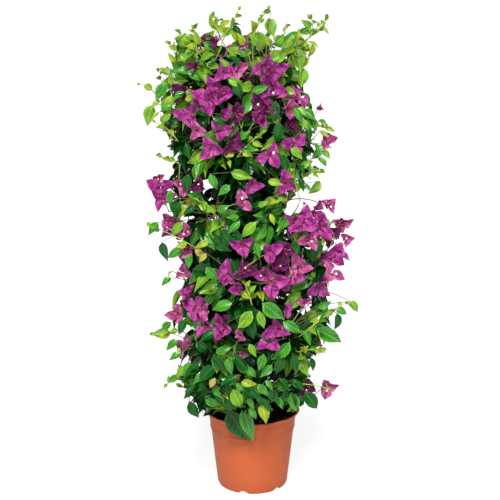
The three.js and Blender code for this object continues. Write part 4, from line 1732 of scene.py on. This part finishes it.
@dataclass
class Foliage:
    """Everything that grows from the canes: twigs, leaves, bracts and small flowers."""

    habit: Habit
    canes: list[Spline]
    masses: list[Mass]
    view: Viewpoint
    growth: Growth = Growth()

    def __post_init__(self) -> None:
        """Prepares the repeated shapes and the empty pieces."""
        self.crowd, self.bract_crowd = Crowd(), Crowd()
        self.leaves = {tint: Joined() for tint in Tint}
        self.bracts = {bloom: Joined() for bloom in Bloom}
        self.wood, self.green, self.young, self.flowers = Joined(), Joined(), Joined(), Joined()
        self.anchors: list[tuple[Vector, Vector]] = []
        low, high = (corner / MM for corner in CAD_BOX)
        self.low, self.high = low - Vector((PROUD,) * 3), high + Vector((PROUD,) * 3)
        self.leaf_shapes = self.make_leaf_shapes()
        self.bract_shapes = self.make_bract_shapes()
        self.tubes = {sides: self.tube_shape(sides, steps) for sides, steps in TUBE_STEPS.items()}
        self.flower_shape = self.make_flower_shape()
        self.closed_flower = self.make_bud_shape()

    # Repeated shapes

    def make_leaf_shapes(self) -> list[Shape]:
        """Makes the eight ways in which a leaf is held, and a ninth, flatter, for those that hang.

        Returns:
            The shapes.
        """
        form = BladeForm(width=0.6, fullness=0.74, taper=0.5, blunt=0.9, steps=6, strips=4, thickness=0.01)
        draw = Draws(Seed.LEAF_HOLDS)
        ranges = ((0.3, 1.5), (0.2, 0.9), (-0.6, 0.6), (-0.14, 0.14), (0.04, 0.16))
        holds = [BladeSet(*(draw(*ends) for ends in ranges)) for _ in range(HELD_WAYS)]
        shapes = [blade_shape(form, hold, cell) for cell, hold in enumerate(holds)]
        return [*shapes, blade_shape(form, BladeSet(0.3, 0.5, 0.2, 0.06, 0.1), 3)]

    def make_bract_shapes(self) -> list[Shape]:
        """Makes the eight ways in which a bract is held.

        Returns:
            The shapes.
        """
        form = BladeForm(width=0.8, fullness=0.76, taper=0.4, blunt=0.78, steps=8, strips=4, thickness=0.01)
        draw = Draws(Seed.BRACT_HOLDS)
        shapes = []
        for cell in range(HELD_WAYS):
            curl = draw(0.3, 1.3) * (-0.6 if cell % 3 == 2 else 1.0)
            hold = BladeSet(curl, draw(0.1, 0.9), draw(-0.7, 0.7), draw(-0.15, 0.15), draw(0.3, 0.55))
            shapes.append(blade_shape(form, hold, cell))
        return shapes

    @staticmethod
    def tube_shape(sides: int, steps: int) -> Shape:
        """Makes a closed tube one unit long and one unit in radius, along +X.

        Args:
            sides: Faces round the tube.
            steps: Faces along it.

        Returns:
            The tube.
        """
        bm = bmesh.new()
        bmesh.ops.create_grid(bm, x_segments=steps, y_segments=sides, size=0.5)
        for vert in bm.verts:
            angle = math.tau * (vert.co.y + 0.5)
            vert.co = Vector((vert.co.x + 0.5, math.cos(angle), math.sin(angle)))
        bmesh.ops.remove_doubles(bm, verts=list(bm.verts), dist=1e-4)
        seal(bm)
        return Shape.of(bm)

    @staticmethod
    def make_flower_shape() -> Shape:
        """Makes the tube flower, one unit long along +X, with a five-lobed star at its mouth.

        Returns:
            The flower.
        """
        bm = bmesh.new()
        chart = bm.loops.layers.uv.new(BAKE_MAP)
        turn = Matrix.Rotation(math.pi / 2, 4, "Y")
        bmesh.ops.create_circle(bm, cap_ends=True, segments=10, radius=0.05, matrix=turn)
        tube = ((0.25, 0.075, 0.075), (0.6, 0.055, 0.055), (0.86, 0.075, 0.075))
        star = ((0.98, 0.11, 0.19), (1.0, 0.05, 0.05))
        rim = list(bm.edges)
        for reach, notch, lobe in tube + star:
            ring = bmesh.ops.extrude_edge_only(bm, edges=rim)["geom"]
            rim = [item for item in ring if isinstance(item, bmesh.types.BMEdge)]
            for vert in (item for item in ring if isinstance(item, bmesh.types.BMVert)):
                angle = math.atan2(vert.co.z, vert.co.y)
                radius = lobe if round(angle / (math.tau / 10)) % 2 else notch
                vert.co = Vector((reach, radius * math.cos(angle), radius * math.sin(angle)))
        seal(bm)
        for face in bm.faces:
            for loop in face.loops:
                angle = math.atan2(loop.vert.co.z, loop.vert.co.y)
                loop[chart].uv = (loop.vert.co.x * 0.9 + 0.05, 0.5 + 0.2 * math.cos(angle))
        return Shape.of(bm)

    @staticmethod
    def make_bud_shape() -> Shape:
        """Makes a flower that hasn't opened: a slender club, one unit long along +X.

        Returns:
            The flower.
        """
        bm = bmesh.new()
        chart = bm.loops.layers.uv.new(BAKE_MAP)
        bmesh.ops.create_uvsphere(bm, u_segments=6, v_segments=5, radius=0.5)
        for vert in bm.verts:
            along = vert.co.z + 0.5
            angle = math.atan2(vert.co.y, vert.co.x)
            radius = math.hypot(vert.co.x, vert.co.y) * between(0.12, 0.26, along)
            vert.co = Vector((along, radius * math.cos(angle), radius * math.sin(angle)))
        seal(bm)
        for face in bm.faces:
            for loop in face.loops:
                loop[chart].uv = (0.05 + loop.vert.co.x * 0.5, 0.2 + loop.vert.co.y * 0.4)
        return Shape.of(bm)

    # Setting one shape

    @staticmethod
    def pick_held(shapes: list[Shape], draw: Draws) -> Shape:
        """Draws one of the eight ways in which a blade is held."""
        return shapes[int(draw(0, HELD_WAYS)) % HELD_WAYS]

    @staticmethod
    def axes(along: Vector, face: Vector) -> np.ndarray:
        """Gives the three axes of a blade from its direction and the way its upper side faces.

        Args:
            along: The blade's direction.
            face: The way its upper side faces.

        Returns:
            The axes, as rows.
        """
        direction = along.normalized()
        side = face.cross(direction)
        side = side.normalized() if side.length > 1e-4 else direction.orthogonal().normalized()
        return np.array([direction, side, direction.cross(side)])

    def set_blade(self, pile: Joined, shape: Shape, root: Vector, along: Vector, face: Vector, length: float,
                  breadth: float = 1.0, sag: float = 0.0) -> None:
        """Adds a leaf or bract.

        Args:
            pile: The piece that it joins.
            shape: The blade.
            root: The place of its foot.
            along: The direction in which it leaves.
            face: The way its upper side faces.
            length: Its length.
            breadth: How wide it is against its kind.
            sag: How far its own weight bends it down, as a share of its length.
        """
        sized = shape.places * np.array([length, length * breadth, length])
        places = sized @ self.axes(along, face) + np.array(root)
        places[:, 2] -= sag * length * shape.places[:, 0] ** 2
        pile.add(shape, places)

    def set_tube(self, pile: Joined, sides: int, path: Path, start: float, end: float) -> None:
        """Adds a tapering twig or stalk along a path.

        Args:
            pile: The piece that it joins.
            sides: How many sides it has.
            path: Its middle line.
            start: Its radius at the foot.
            end: Its radius at the tip.
        """
        shape = self.tubes[sides]
        steps = TUBE_STEPS[sides]
        rings = rings_along(path, steps)
        index = np.rint(shape.places[:, 0] * steps).astype(int)
        middle, side, over = (np.array([ring[part] for ring in rings])[index] for part in range(3))
        radius = start + (end - start) * shape.places[:, :1]
        places = middle + (side * shape.places[:, 1:2] + over * shape.places[:, 2:3]) * radius
        pile.add(shape, places)

    def in_reach(self, points: list[Vector], share: float) -> bool:
        """Tells whether points keep to the crown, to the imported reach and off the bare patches.

        Args:
            points: The points of a leaf or twig.
            share: How far out of the crown they may lie, or 0 for a free shoot.

        Returns:
            True if all of them do.
        """
        for point in points:
            if any(point[k] < self.low[k] or point[k] > self.high[k] for k in range(3)):
                return False
            column, row = self.view.pixel(point)
            if share and (self.habit.share_out(point) > share or not self.in_silhouette(column, row)):
                return False
            if any(math.hypot((column - c) / w, (row - r) / h) < 1 for c, r, w, h in BARE_PATCHES):
                return False
            if point.z < POT_CLEAR_HEIGHT and math.hypot(point.x, point.y) < POT_CLEAR_RADIUS:
                return False
        return True

    @staticmethod
    def in_silhouette(column: float, row: float) -> bool:
        """Tells whether a pixel lies within the leafy body.

        Args:
            column: The pixel's column.
            row: The pixel's row.

        Returns:
            True if it does.
        """
        spans = list(zip(SILHOUETTE, SILHOUETTE[1:]))
        above, below = next((span for span in spans if span[1][0] > row), spans[-1])
        share = min(max((row - above[0]) / (below[0] - above[0]), 0.0), 1.0)
        return between(above[1], below[1], share) < column < between(above[2], below[2], share)

    def tint_for(self, point: Vector, draw: Draws) -> Tint:
        """Draws a leaf colour for a spray at a place.

        Args:
            point: The place.
            draw: The spray's draws.

        Returns:
            The colour.
        """
        out = self.habit.share_out(point)
        # Leaves inside the crown, and a share of those lower down, get the painted-shade tint
        if out < 0.7:
            return draw.pick({Tint.PAINTED_SHADE: 0.7, Tint.DARK: 0.3})
        if out > 0.88 and point.z > 540:
            return draw.pick({Tint.DARK: 0.26, Tint.MID: 0.38, Tint.FRESH: 0.24, Tint.LIME: 0.12})
        if point.z > 800:
            return draw.pick({Tint.DARK: 0.14, Tint.MID: 0.22, Tint.FRESH: 0.3, Tint.LIME: 0.34})
        if point.z > 420:
            weights = {Tint.PAINTED_SHADE: 0.24, Tint.DARK: 0.32, Tint.MID: 0.24, Tint.FRESH: 0.14, Tint.LIME: 0.06}
            return draw.pick(weights)
        return draw.pick({Tint.PAINTED_SHADE: 0.24, Tint.DARK: 0.4, Tint.MID: 0.28, Tint.FRESH: 0.08})

    def hang_leaf(self, root: Vector, tangent: Vector, turn: float, away: Vector, length: float, tint: Tint,
                  draw: Draws, share: float = 1.03, opening: float = 0.95) -> None:
        """Hangs a leaf on a twig, turned on and made smaller until it has room, or leaves it out.

        Args:
            root: The place on the twig.
            tangent: The twig's direction there.
            turn: The leaf's turn about the twig.
            away: The level direction out of the crown.
            length: The leaf's length.
            tint: Its colour.
            draw: The draws of its spray.
            share: How far out of the crown it may reach, or 0 for a free shoot.
            opening: The angle at which it leaves the twig.
        """
        face = away + UP * 0.45
        if share and root.z > self.growth.thin_from:
            if draw() < ease(root.z, self.growth.thin_from, 950):
                return
            length, tint = length * 0.62, draw.pick({Tint.MID: 0.3, Tint.FRESH: 0.4, Tint.LIME: 0.3})
        for count in range(self.growth.tries):
            wide = opening * (0.7 if count % 2 else 1.0)
            along = branching(tangent, turn + count * GOLDEN_TURN, wide)
            along = (along + away * 0.15 - UP * (0.3 if share else 0.0)).normalized()
            size = length * 0.96 ** count
            stalk = root + along * (size * 0.16) + UP * 1.5
            sagging = [UP * (0.18 * size * part * part) for part in LEAF_MARKS]
            points = [stalk + along * (size * part) - down for part, down in zip(LEAF_MARKS, sagging)]
            side = face.cross(along).normalized() * (size * 0.22)
            edges = [points[0] + side, points[0] - side, *points]
            if not self.in_reach(points, share) or not self.crowd.free(points, self.growth.apart):
                continue
            if not self.bract_crowd.free(edges, self.growth.bract_apart):
                continue
            self.crowd.take(points)
            bow = Bow(root, root.lerp(stalk, 0.5) + UP, stalk + along * 1.5)
            self.set_tube(self.green, 3, bow, 0.75, 0.55)
            shape = self.pick_held(self.leaf_shapes, draw)
            tilted = face + along.cross(UP) * draw(-0.95, 0.95) + UP * draw(-0.3, 0.5)
            pile, breadth, sag = self.leaves[tint], draw(0.84, 1.08), draw(0.05, 0.3)
            self.set_blade(pile, shape, stalk, along, tilted, size, breadth, sag)
            return

    def nearest_wood(self, point: Vector, outer: float = 60.0) -> tuple[Vector, Vector]:
        """Finds the wood nearest to a point, well inside it, with its direction.

        Args:
            point: The place of a leaf's or blossom's foot.
            outer: How much further off wood counts that isn't well inside the point.

        Returns:
            The place on the wood and the wood's direction there.
        """
        inner = self.habit.share_out(point)
        return min(
            self.anchors,
            key=lambda held: (held[0] - point).length
            + (outer if self.habit.share_out(held[0]) > inner - 0.12 else 0)
            + max(held[0].z - point.z, 0) * 1.6,
        )

    # Blossoms

    @staticmethod
    def bract_spread(opened: float) -> float:
        """Gives the angle between a bract and its blossom's axis, in radians."""
        return between(0.18, 0.98, opened)

    def set_blossom(self, base: Vector, axis: Vector, size: float, opened: float, bloom: Bloom,
                    draw: Draws) -> None:
        """Sets three bracts round their axis, with the small flowers between them.

        Args:
            base: The foot of the bracts.
            axis: The direction in which the blossom opens.
            size: Its size against the usual one.
            opened: From 0, closed, to 1, wide open.
            bloom: Its colour.
            draw: The draws of its spray.
        """
        growth = self.growth
        aim = axis.normalized()
        side = aim.orthogonal().normalized()
        over = aim.cross(side)
        start = draw(0, math.tau)
        for index in range(3):
            angle = start + math.tau * index / 3 + draw(-0.15, 0.15)
            radial = side * math.cos(angle) + over * math.sin(angle)
            spread = self.bract_spread(opened) * draw(0.78, 1.2)
            along = aim * math.cos(spread) + radial * math.sin(spread)
            face = aim * math.sin(spread) - radial * math.cos(spread)
            shape = self.pick_held(self.bract_shapes, draw)
            root = base + aim * 1.0 + radial * 0.8
            length = growth.bract_length * size * draw(0.92, 1.1)
            self.set_blade(self.bracts[bloom], shape, root, along, face, length, draw(0.9, 1.1))
            aside = face.cross(along).normalized() * (length * 0.3)
            middle = root + along * (length * 0.5)
            self.bract_crowd.take([middle, middle + aside, middle - aside, root + along * (length * 0.85)])
            if opened > 0.45 and draw() < 0.7:
                lean = spread * 0.55
                stalk = aim * math.cos(lean) + radial * math.sin(lean)
                flower = length * draw(0.45, 0.6)
                shape = self.flower_shape if draw() < 0.16 else self.closed_flower
                self.set_blade(self.flowers, shape, root, stalk, face, flower)

    def blossom_spray(self, targets: list[tuple[Vector, float, float]], seed: int, bloom: Bloom) -> None:
        """Grows one flowering twig and sets its blossoms.

        Args:
            targets: Each blossom's place, size and opening.
            seed: The seed of the spray's draws.
            bloom: Their colour.
        """
        draw = Draws(seed * SPRAY_FACTOR)
        for centre, size, opened in targets:
            away = Vector((centre.x - self.habit.axis(centre.z).x, centre.y, 0)).normalized()
            towards_view = Vector((0, -1, 0.25)) if centre.y < 0 else away
            axis = away * 0.4 + towards_view * 1.1 + UP * draw(-0.55, 0.75)
            axis = (axis + away.cross(UP) * draw(-0.85, 0.85)).normalized()
            reach = self.growth.bract_length * size * 0.5 * math.cos(self.bract_spread(opened))
            place = centre - Vector((axis.x, 0, axis.z)) * reach
            foot, tangent = self.nearest_wood(place, 22.0)
            bend = foot + tangent * ((place - foot).length * 0.16) + away * ((place - foot).length * 0.3)
            twig = Bow(foot, bend, place)
            self.set_tube(self.green, 4, twig, 1.2, 0.7)
            self.set_blossom(place, axis, size, opened, bloom, draw)
            if size > DOUBLE_SIZE:
                level = axis.cross(UP).normalized()
                turn = draw(0, math.tau)
                shift = level * math.cos(turn) + UP * math.sin(turn)
                beside = place + shift * draw(10, 14) - axis * draw(3, 9)
                other = axis + shift * draw(0.4, 0.9)
                self.set_blossom(beside, other, size * draw(0.6, 0.85), opened * draw(0.6, 1.0), bloom, draw)
                stalk = Bow(twig.point(0.7), twig.point(0.85).lerp(beside, 0.4), beside)
                self.set_tube(self.green, 3, stalk, 0.8, 0.6)
            self.anchors.append((twig.point(0.6), twig.tangent(0.6)))

    def place_blossoms(self) -> None:
        """Sets the blossoms seen at the front, and their like round the sides and back."""
        seen = [(bloom, 0.93, *row) for bloom, rows in FRONT_BLOSSOMS.items() for row in rows]
        # Blossoms in the shade get the plum colour, which paints that shade
        seen += [(Bloom.SHADED_PLUM, 0.72, *row) for row in SHADED_BLOSSOMS]
        seen += [(Bloom.PURPLE, 0.88, *row) for row in HIDDEN_BLOSSOMS]
        for number, (bloom, share, column, row, size, opened) in enumerate(seen):
            place = self.view.on_front(self.habit, column, row, share)
            self.blossom_spray([(place, size, opened)], Seed.FRONT_BLOSSOMS + number, bloom)
        # Round the sides and back the colours take turns; the plum among them is a painted-shade copy of the
        # purple, and the pink partly a painted-light copy
        order = (Bloom.PURPLE, Bloom.PURPLE, Bloom.SHADED_PLUM, Bloom.PURPLE, Bloom.LIT_PINK)
        draw = Draws(Seed.SIDE_SPRAYS)
        for number in range(self.growth.side_sprays):
            azimuth = between(12, 168, draw())
            height = between(300, 900, (number + draw()) / self.growth.side_sprays)
            away = outward(azimuth)
            middle = self.habit.edge(height, away, 0.92)
            targets = []
            for _ in range(1 + int(draw(0, 2.6))):
                shift = Vector((draw(-24, 24), draw(-14, 14), draw(-22, 22)))
                targets.append((middle + shift * 0.8, draw(0.85, 1.2), draw(0.5, 1.0)))
            margin, proud = Vector((10, 0, 0)), away * self.growth.bract_length * 1.2
            targets = [each for each in targets if self.in_reach([each[0] - margin, each[0] + margin], 1.0)]
            targets = [each for each in targets if self.in_reach([each[0] + proud], 0)]
            self.blossom_spray(targets, Seed.SIDE_BLOSSOMS + number, order[number % len(order)])

    # Leaves placed by eye, wands and the general growth

    def place_front_leaves(self) -> None:
        """Sets the leaves that stand out at the front."""
        draw = Draws(Seed.FRONT_LEAVES)
        for tint, rows in FRONT_LEAVES.items():
            for foot_column, foot_row, tip_column, tip_row in rows:
                foot = self.view.on_front(self.habit, foot_column, foot_row, 1.0)
                tip = self.view.at_depth(tip_column, tip_row, foot.y - 10)
                if min(tip.z, foot.z) < POT_CLEAR_HEIGHT:
                    front = POT_FRONT if tint is Tint.DARK else POT_FRONT - 10
                    foot = self.view.at_depth(foot_column, foot_row, front)
                    tip = self.view.at_depth(tip_column, tip_row, front - 5)
                along = tip - foot
                wood, tangent = self.nearest_wood(foot)
                span = (foot - wood).length
                stalk = Bow(wood, wood + tangent * (span * 0.3) + UP * (span * 0.15), foot)
                self.set_tube(self.wood if span > 36 else self.green, 4, stalk, 0.95, 0.6)
                away = Vector((foot.x - self.habit.axis(foot.z).x, foot.y, 0)).normalized()
                face = Vector((0, -0.8, 0.35)) + away * 0.5 + along.normalized().cross(UP) * draw(-0.4, 0.4)
                hangs = tip.z < POT_CLEAR_HEIGHT
                shape = self.leaf_shapes[-1] if hangs else self.pick_held(self.leaf_shapes, draw)
                length = along.length * 1.04
                narrow = 0.75 if hangs else 1.0
                breadth = draw(0.72, 0.9) if tint is Tint.LIME or foot.y < POT_FRONT else draw(0.88, 1.1)
                self.set_blade(self.leaves[tint], shape, foot, along, face, length, breadth * narrow)
                self.crowd.take([foot + along * part for part in LEAF_MARKS])

    def set_shoot(self, foot: Vector, bend: Vector, tip: Vector) -> Bow:
        """Sets a young shoot and the green twig that joins it to the wood.

        Args:
            foot: The shoot's foot.
            bend: The point that pulls its middle aside.
            tip: Its tip.

        Returns:
            The shoot's path.
        """
        wood, tangent = self.nearest_wood(foot)
        self.set_tube(self.green, 4, Bow(wood, wood.lerp(foot, 0.5) + tangent * 8, foot), 1.5, 1.2)
        shoot = Bow(foot, bend, tip)
        self.set_tube(self.young, 4, shoot, 1.4, 0.6)
        return shoot

    def place_wands(self) -> None:
        """Grows the slender shoots, with young leaves that get smaller to the tip."""
        for number, (foot_column, foot_row, tip_column, tip_row, count) in enumerate(WANDS):
            draw = Draws(Seed.WANDS + number)
            foot = self.view.on_front(self.habit, foot_column, foot_row, 0.96)
            tip = self.view.at_depth(tip_column, tip_row, foot.y + draw(-12, 6))
            bend = foot.lerp(tip, 0.5) + UP * draw(2, 9) + Vector((draw(-5, 5), 0, 0))
            self.young_leaves(self.set_shoot(foot, bend, tip), count, draw, number % 3)

    def place_side_shoots(self) -> None:
        """Grows slender young shoots round the sides and the back, like those at the front."""
        for number in range(self.growth.side_shoots):
            draw = Draws(Seed.SIDE_SHOOTS + number)
            height = between(480, 915, (number + draw()) / self.growth.side_shoots)
            away = outward(between(5, 175, (number * 0.382 + 0.1 * draw()) % 1.0))
            foot = self.habit.edge(height, away, 0.8)
            tip = foot + away * draw(8, 22) + UP * draw(26, 62)
            while not self.in_reach([tip], 0.0) and (tip - foot).length > 12:
                tip = tip.lerp(foot, 0.15)
            shoot = self.set_shoot(foot, foot.lerp(tip, 0.5) + UP * draw(2, 7), tip)
            self.young_leaves(shoot, 3 + int(draw(0, 3.9)), draw, number % 3)

    def young_leaves(self, path: Path, count: int, draw: Draws, shift: int) -> None:
        """Sets young leaves along a shoot and a tuft at its tip.

        Args:
            path: The shoot.
            count: How many leaves stand along it.
            draw: Its draws.
            shift: Where its colours start.
        """
        tints = (Tint.LIME, Tint.FRESH, Tint.LIME, Tint.MID)
        level = Vector((0, -1, 0)) if path.point(0).y < 0 else Vector((0, 1, 0))
        for index in range(count):
            share = between(0.15, 0.98, index / max(count - 1, 1))
            size = between(1.15, 0.55, share) * self.growth.young_length * draw(0.85, 1.2)
            tint = tints[(index + shift) % len(tints)]
            root, tangent = path.point(share), path.tangent(share)
            turn = math.pi * index + draw(-0.5, 0.5)
            self.hang_leaf(root, tangent, turn, level, size, tint, draw, 0.0, draw(0.6, 1.0))
        for index in range(2):
            along = branching(path.tangent(1.0), math.pi * index + draw(-0.6, 0.6), 0.5)
            size = self.growth.young_length * draw(0.3, 0.45)
            shape = self.pick_held(self.leaf_shapes, draw)
            self.set_blade(self.leaves[Tint.LIME], shape, path.point(0.99), along, level + UP * 0.4, size)

    def clothe(self, path: Path, first: float, last: float, count: int, away: Vector, length: float,
               tint: Tint, draw: Draws) -> None:
        """Sets leaves alternately along a twig.

        Args:
            path: The twig.
            first: The share of its length at which the first leaf stands.
            last: The share at which the last one stands.
            count: How many.
            away: The level direction out of the crown.
            length: The leaves' length.
            tint: Their colour.
            draw: The spray's draws.
        """
        # The tints in order, from the painted shade to lime; a leaf may step to a neighbouring one
        steps = list(Tint)[:5]
        for index in range(count):
            share = between(first, last, index / max(count - 1, 1))
            opening = self.growth.opening * (0.45 if index == count - 1 else 1.0)
            turn = GOLDEN_TURN * index + draw(0, 2)
            place = steps.index(tint) + (int(draw(-0.9, 1.9)) if draw() < 0.4 else 0)
            own_tint = steps[min(max(place, 0), len(steps) - 1)]
            size = length * draw(0.8, 1.15) * (0.72 if own_tint is Tint.LIME else 1.0)
            root, tangent = path.point(share), path.tangent(share)
            self.hang_leaf(root, tangent, turn, away, size, own_tint, draw, 1.03, opening)

    def grow_twig(self, mass: Mass, index: int, draw: Draws) -> None:
        """Grows one twig of a mass, its side twigs and their leaves.

        Args:
            mass: The foliage mass.
            index: The twig's number.
            draw: The mass's draws.
        """
        growth = self.growth
        share = 0.24 + 0.76 * index / (growth.twigs - 1)
        start, tangent = mass.path.point(share), mass.path.tangent(share)
        length = growth.twig_length + draw(-growth.twig_spread, growth.twig_spread)
        opening = math.radians(growth.twig_opening) * (0.25 if index == growth.twigs - 1 else 1.0)
        turn = GOLDEN_TURN * index + draw(-0.4, 0.4)
        lift = -0.25 if mass.tier.rise < 0 else 0.12
        for _ in range(5):
            direction = (branching(tangent, turn, opening) + UP * lift).normalized()
            end = start + direction * length
            turn += GOLDEN_TURN
            if self.in_reach([end], 0.97):
                break
            length *= 0.92
        else:
            return
        bend = start.lerp(end, 0.5) + UP * draw(-3, 5) + mass.away * draw(0, 5)
        path = Bow(start, bend, end)
        self.set_tube(self.wood, 4, path, 1.7, 0.9)
        self.anchors += [(path.point(part), path.tangent(part)) for part in (0.25, 0.5, 0.75)]
        tint = self.tint_for(end, draw)
        self.clothe(path, 0.22, 1.0, growth.leaves, mass.away, growth.leaf_length, tint, draw)
        for side in range(growth.side_twigs):
            part = between(0.35, 0.8, side / max(growth.side_twigs - 1, 1))
            root, along = path.point(part), path.tangent(part)
            way = (branching(along, turn + math.pi * side, 0.9) + UP * 0.1).normalized()
            tip = root + way * (growth.side_length * draw(0.8, 1.2))
            if not self.in_reach([tip], 1.0):
                continue
            fork = Bow(root, root.lerp(tip, 0.5) + UP * 2, tip)
            self.set_tube(self.green, 4, fork, 1.1, 0.6)
            own = self.tint_for(tip, draw)
            self.clothe(fork, 0.3, 1.0, growth.side_leaves, mass.away, growth.leaf_length * 0.9, own, draw)

    def grow_masses(self) -> None:
        """Grows every mass from its stem."""
        for mass in self.masses:
            draw = Draws(Seed.MASSES + MASS_STRIDE * mass.number)
            for index in reversed(range(self.growth.twigs)):
                self.grow_twig(mass, index, draw)
            # The leaves along each mass's stem get the painted-shade tint
            self.clothe(mass.path, 0.2, 0.7, 6, mass.away, self.growth.leaf_length * 1.1, Tint.PAINTED_SHADE, draw)

    def grow_inside(self) -> None:
        """Sets the large leaves on the canes, most of them coloured with painted shade."""
        growth = self.growth
        for number, cane in enumerate(self.canes):
            draw = Draws(Seed.INNER_LEAVES + number)
            for index in range(growth.inner_leaves):
                share = between(0.06, 0.99, index / growth.inner_leaves)
                root, tangent = cane.point(share), cane.tangent(share)
                azimuth = self.habit.cane_azimuth + 360 * number / self.habit.canes
                away = outward(azimuth + draw(-70, 70))
                # Most of these leaves get the painted-shade tint
                tint = Tint.PAINTED_SHADE if draw() < 0.8 else Tint.DARK
                size = growth.leaf_length * draw(1.05, 1.3)
                self.hang_leaf(root, tangent, GOLDEN_TURN * index, away, size, tint, draw)

    def lay_stems(self) -> None:
        """Lays the masses' stems and notes where wood may fork."""
        for mass in self.masses:
            self.set_tube(self.wood, 5, mass.path, 3.0, 1.8)
            shares = [0.1 * step for step in range(1, 11)]
            self.anchors += [(mass.path.point(share), mass.path.tangent(share)) for share in shares]

    def finish_pieces(self) -> None:
        """Turns the joined shapes into pieces with their finishes."""
        nodes = [f"foliage_{mass.name}" for mass in self.masses]
        twigs = Bark("twig_bark", shade(64, 58, 32), shade(112, 106, 62), 160.0)
        stalks = GreenTwig("stalk_green", shade(112, 146, 52), shade(150, 138, 76))
        shoots = GreenTwig("stalk_young", shade(132, 168, 60), shade(170, 178, 92))
        pieces = [
            ("twigs_woody", self.wood, twigs, "bark"),
            ("twigs_green", self.green, stalks, "leaves"),
            ("twigs_young", self.young, shoots, "leaves"),
        ]
        for tint in Tint:
            pieces.append((f"leaves_{tint.value}", self.leaves[tint], LEAF_SKINS[tint], "leaves"))
        for bloom in Bloom:
            pieces.append((f"bracts_{bloom.value}", self.bracts[bloom], BRACT_SKINS[bloom], "blossom"))
        pieces.append(("tube_flowers", self.flowers, TubeFlower(), "blossom"))
        for name, pile, finish, slot in pieces:
            dress(pile.make(name), finish.make(), slot, *nodes)

    def build(self) -> None:
        """Grows the foliage, blossoms first so that leaves keep clear of them."""
        self.lay_stems()
        self.place_blossoms()
        self.place_front_leaves()
        self.place_wands()
        self.place_side_shoots()
        self.grow_masses()
        self.grow_inside()
        self.finish_pieces()


# Floor, light and camera

@dataclass
class Studio:
    """A pale paper floor, soft light and the camera at the photograph's place."""

    view: Viewpoint
    floor_size: float = 12.0

    def floor(self) -> None:
        """Lays the paper."""
        bm = bmesh.new()
        bmesh.ops.create_grid(bm, x_segments=4, y_segments=4, size=self.floor_size / MM)
        floor = object_of("studio_floor", bm)
        floor.data.materials.append(StudioPaper().make())

    def light(self, name: str, place: Place, height: float, **settings: Union[float, str]) -> None:
        """Hangs one soft light, which points at the middle of the pot at a height.

        Args:
            name: Its name.
            place: Where it hangs, in metres.
            height: The height of what it points at, in metres.
            settings: Its type and power, and its size or angle.
        """
        lamp = bpy.data.lights.new(name, settings.pop("type", "AREA"))
        for key, value in settings.items():
            setattr(lamp, key, value)
        holder = linked(bpy.data.objects.new(name, lamp))
        holder.location = place
        holder.rotation_euler = (UP * height - Vector(place)).to_track_quat("-Z", "Y").to_euler()

    def sky(self) -> None:
        """Makes a white sky that is bright near the horizon and dim overhead."""
        world = bpy.data.worlds.new("studio_sky")
        world.use_nodes = True
        bpy.context.scene.world = world
        tree = world.node_tree
        sky = tree.nodes["Background"]
        sky.inputs["Color"].default_value = (1.0, 1.0, 1.0, 1.0)
        place = tree.nodes.new("ShaderNodeTexCoord")
        parts = tree.nodes.new("ShaderNodeSeparateXYZ")
        level = tree.nodes.new("ShaderNodeMapRange")
        for socket, value in (("From Min", 0.13), ("From Max", 0.24), ("To Min", 0.9), ("To Max", 0.04)):
            level.inputs[socket].default_value = value
        tree.links.new(place.outputs["Generated"], parts.inputs["Vector"])
        tree.links.new(parts.outputs["Z"], level.inputs["Value"])
        tree.links.new(level.outputs["Result"], sky.inputs["Strength"])

    def build(self) -> None:
        """Sets up floor, sky, lights and camera."""
        self.floor()
        self.sky()
        bpy.context.scene.view_settings.view_transform = "Standard"
        spread = math.radians(14.0)
        self.light("overhead_light", (-0.03, -0.9, 1.3), 0.0, type="SUN", angle=spread, energy=4.2)
        self.light("key_light", (-0.25, -2.4, 1.9), 0.5, shape="DISK", size=0.4, energy=30.0)
        self.light("fill_light", (1.9, -1.8, 1.0), 0.4, shape="DISK", size=1.0, energy=2.5)
        self.light("back_light", (0.6, 2.2, 2.0), 0.6, shape="DISK", size=1.2, energy=26.0)
        camera = bpy.data.cameras.new("photo_camera")
        camera.sensor_width = self.view.sensor
        camera.lens = self.view.focal * self.view.sensor / self.view.frame_size
        camera.clip_end = 60.0
        holder = linked(bpy.data.objects.new("photo_camera", camera))
        holder.location = Vector(self.view.place) * MM
        holder.rotation_euler = (math.radians(90 - self.view.pitch), 0, 0)
        bpy.context.scene.camera = holder


def main() -> None:
    """Builds the bush from the pot up, then the studio."""
    logging.basicConfig(level=logging.INFO, format="%(name)s %(message)s")
    habit, view = Habit(), Viewpoint()
    canes = [habit.cane_path(index) for index in range(habit.canes)]
    masses = lay_out_masses(habit, canes)
    pot = NurseryPot()
    pot.build()
    PottedSoil(pot).build()
    BarkedWood(habit, canes).build()
    Foliage(habit, canes, masses, view).build()
    Studio(view).build()


if __name__ == "__main__":
    main()
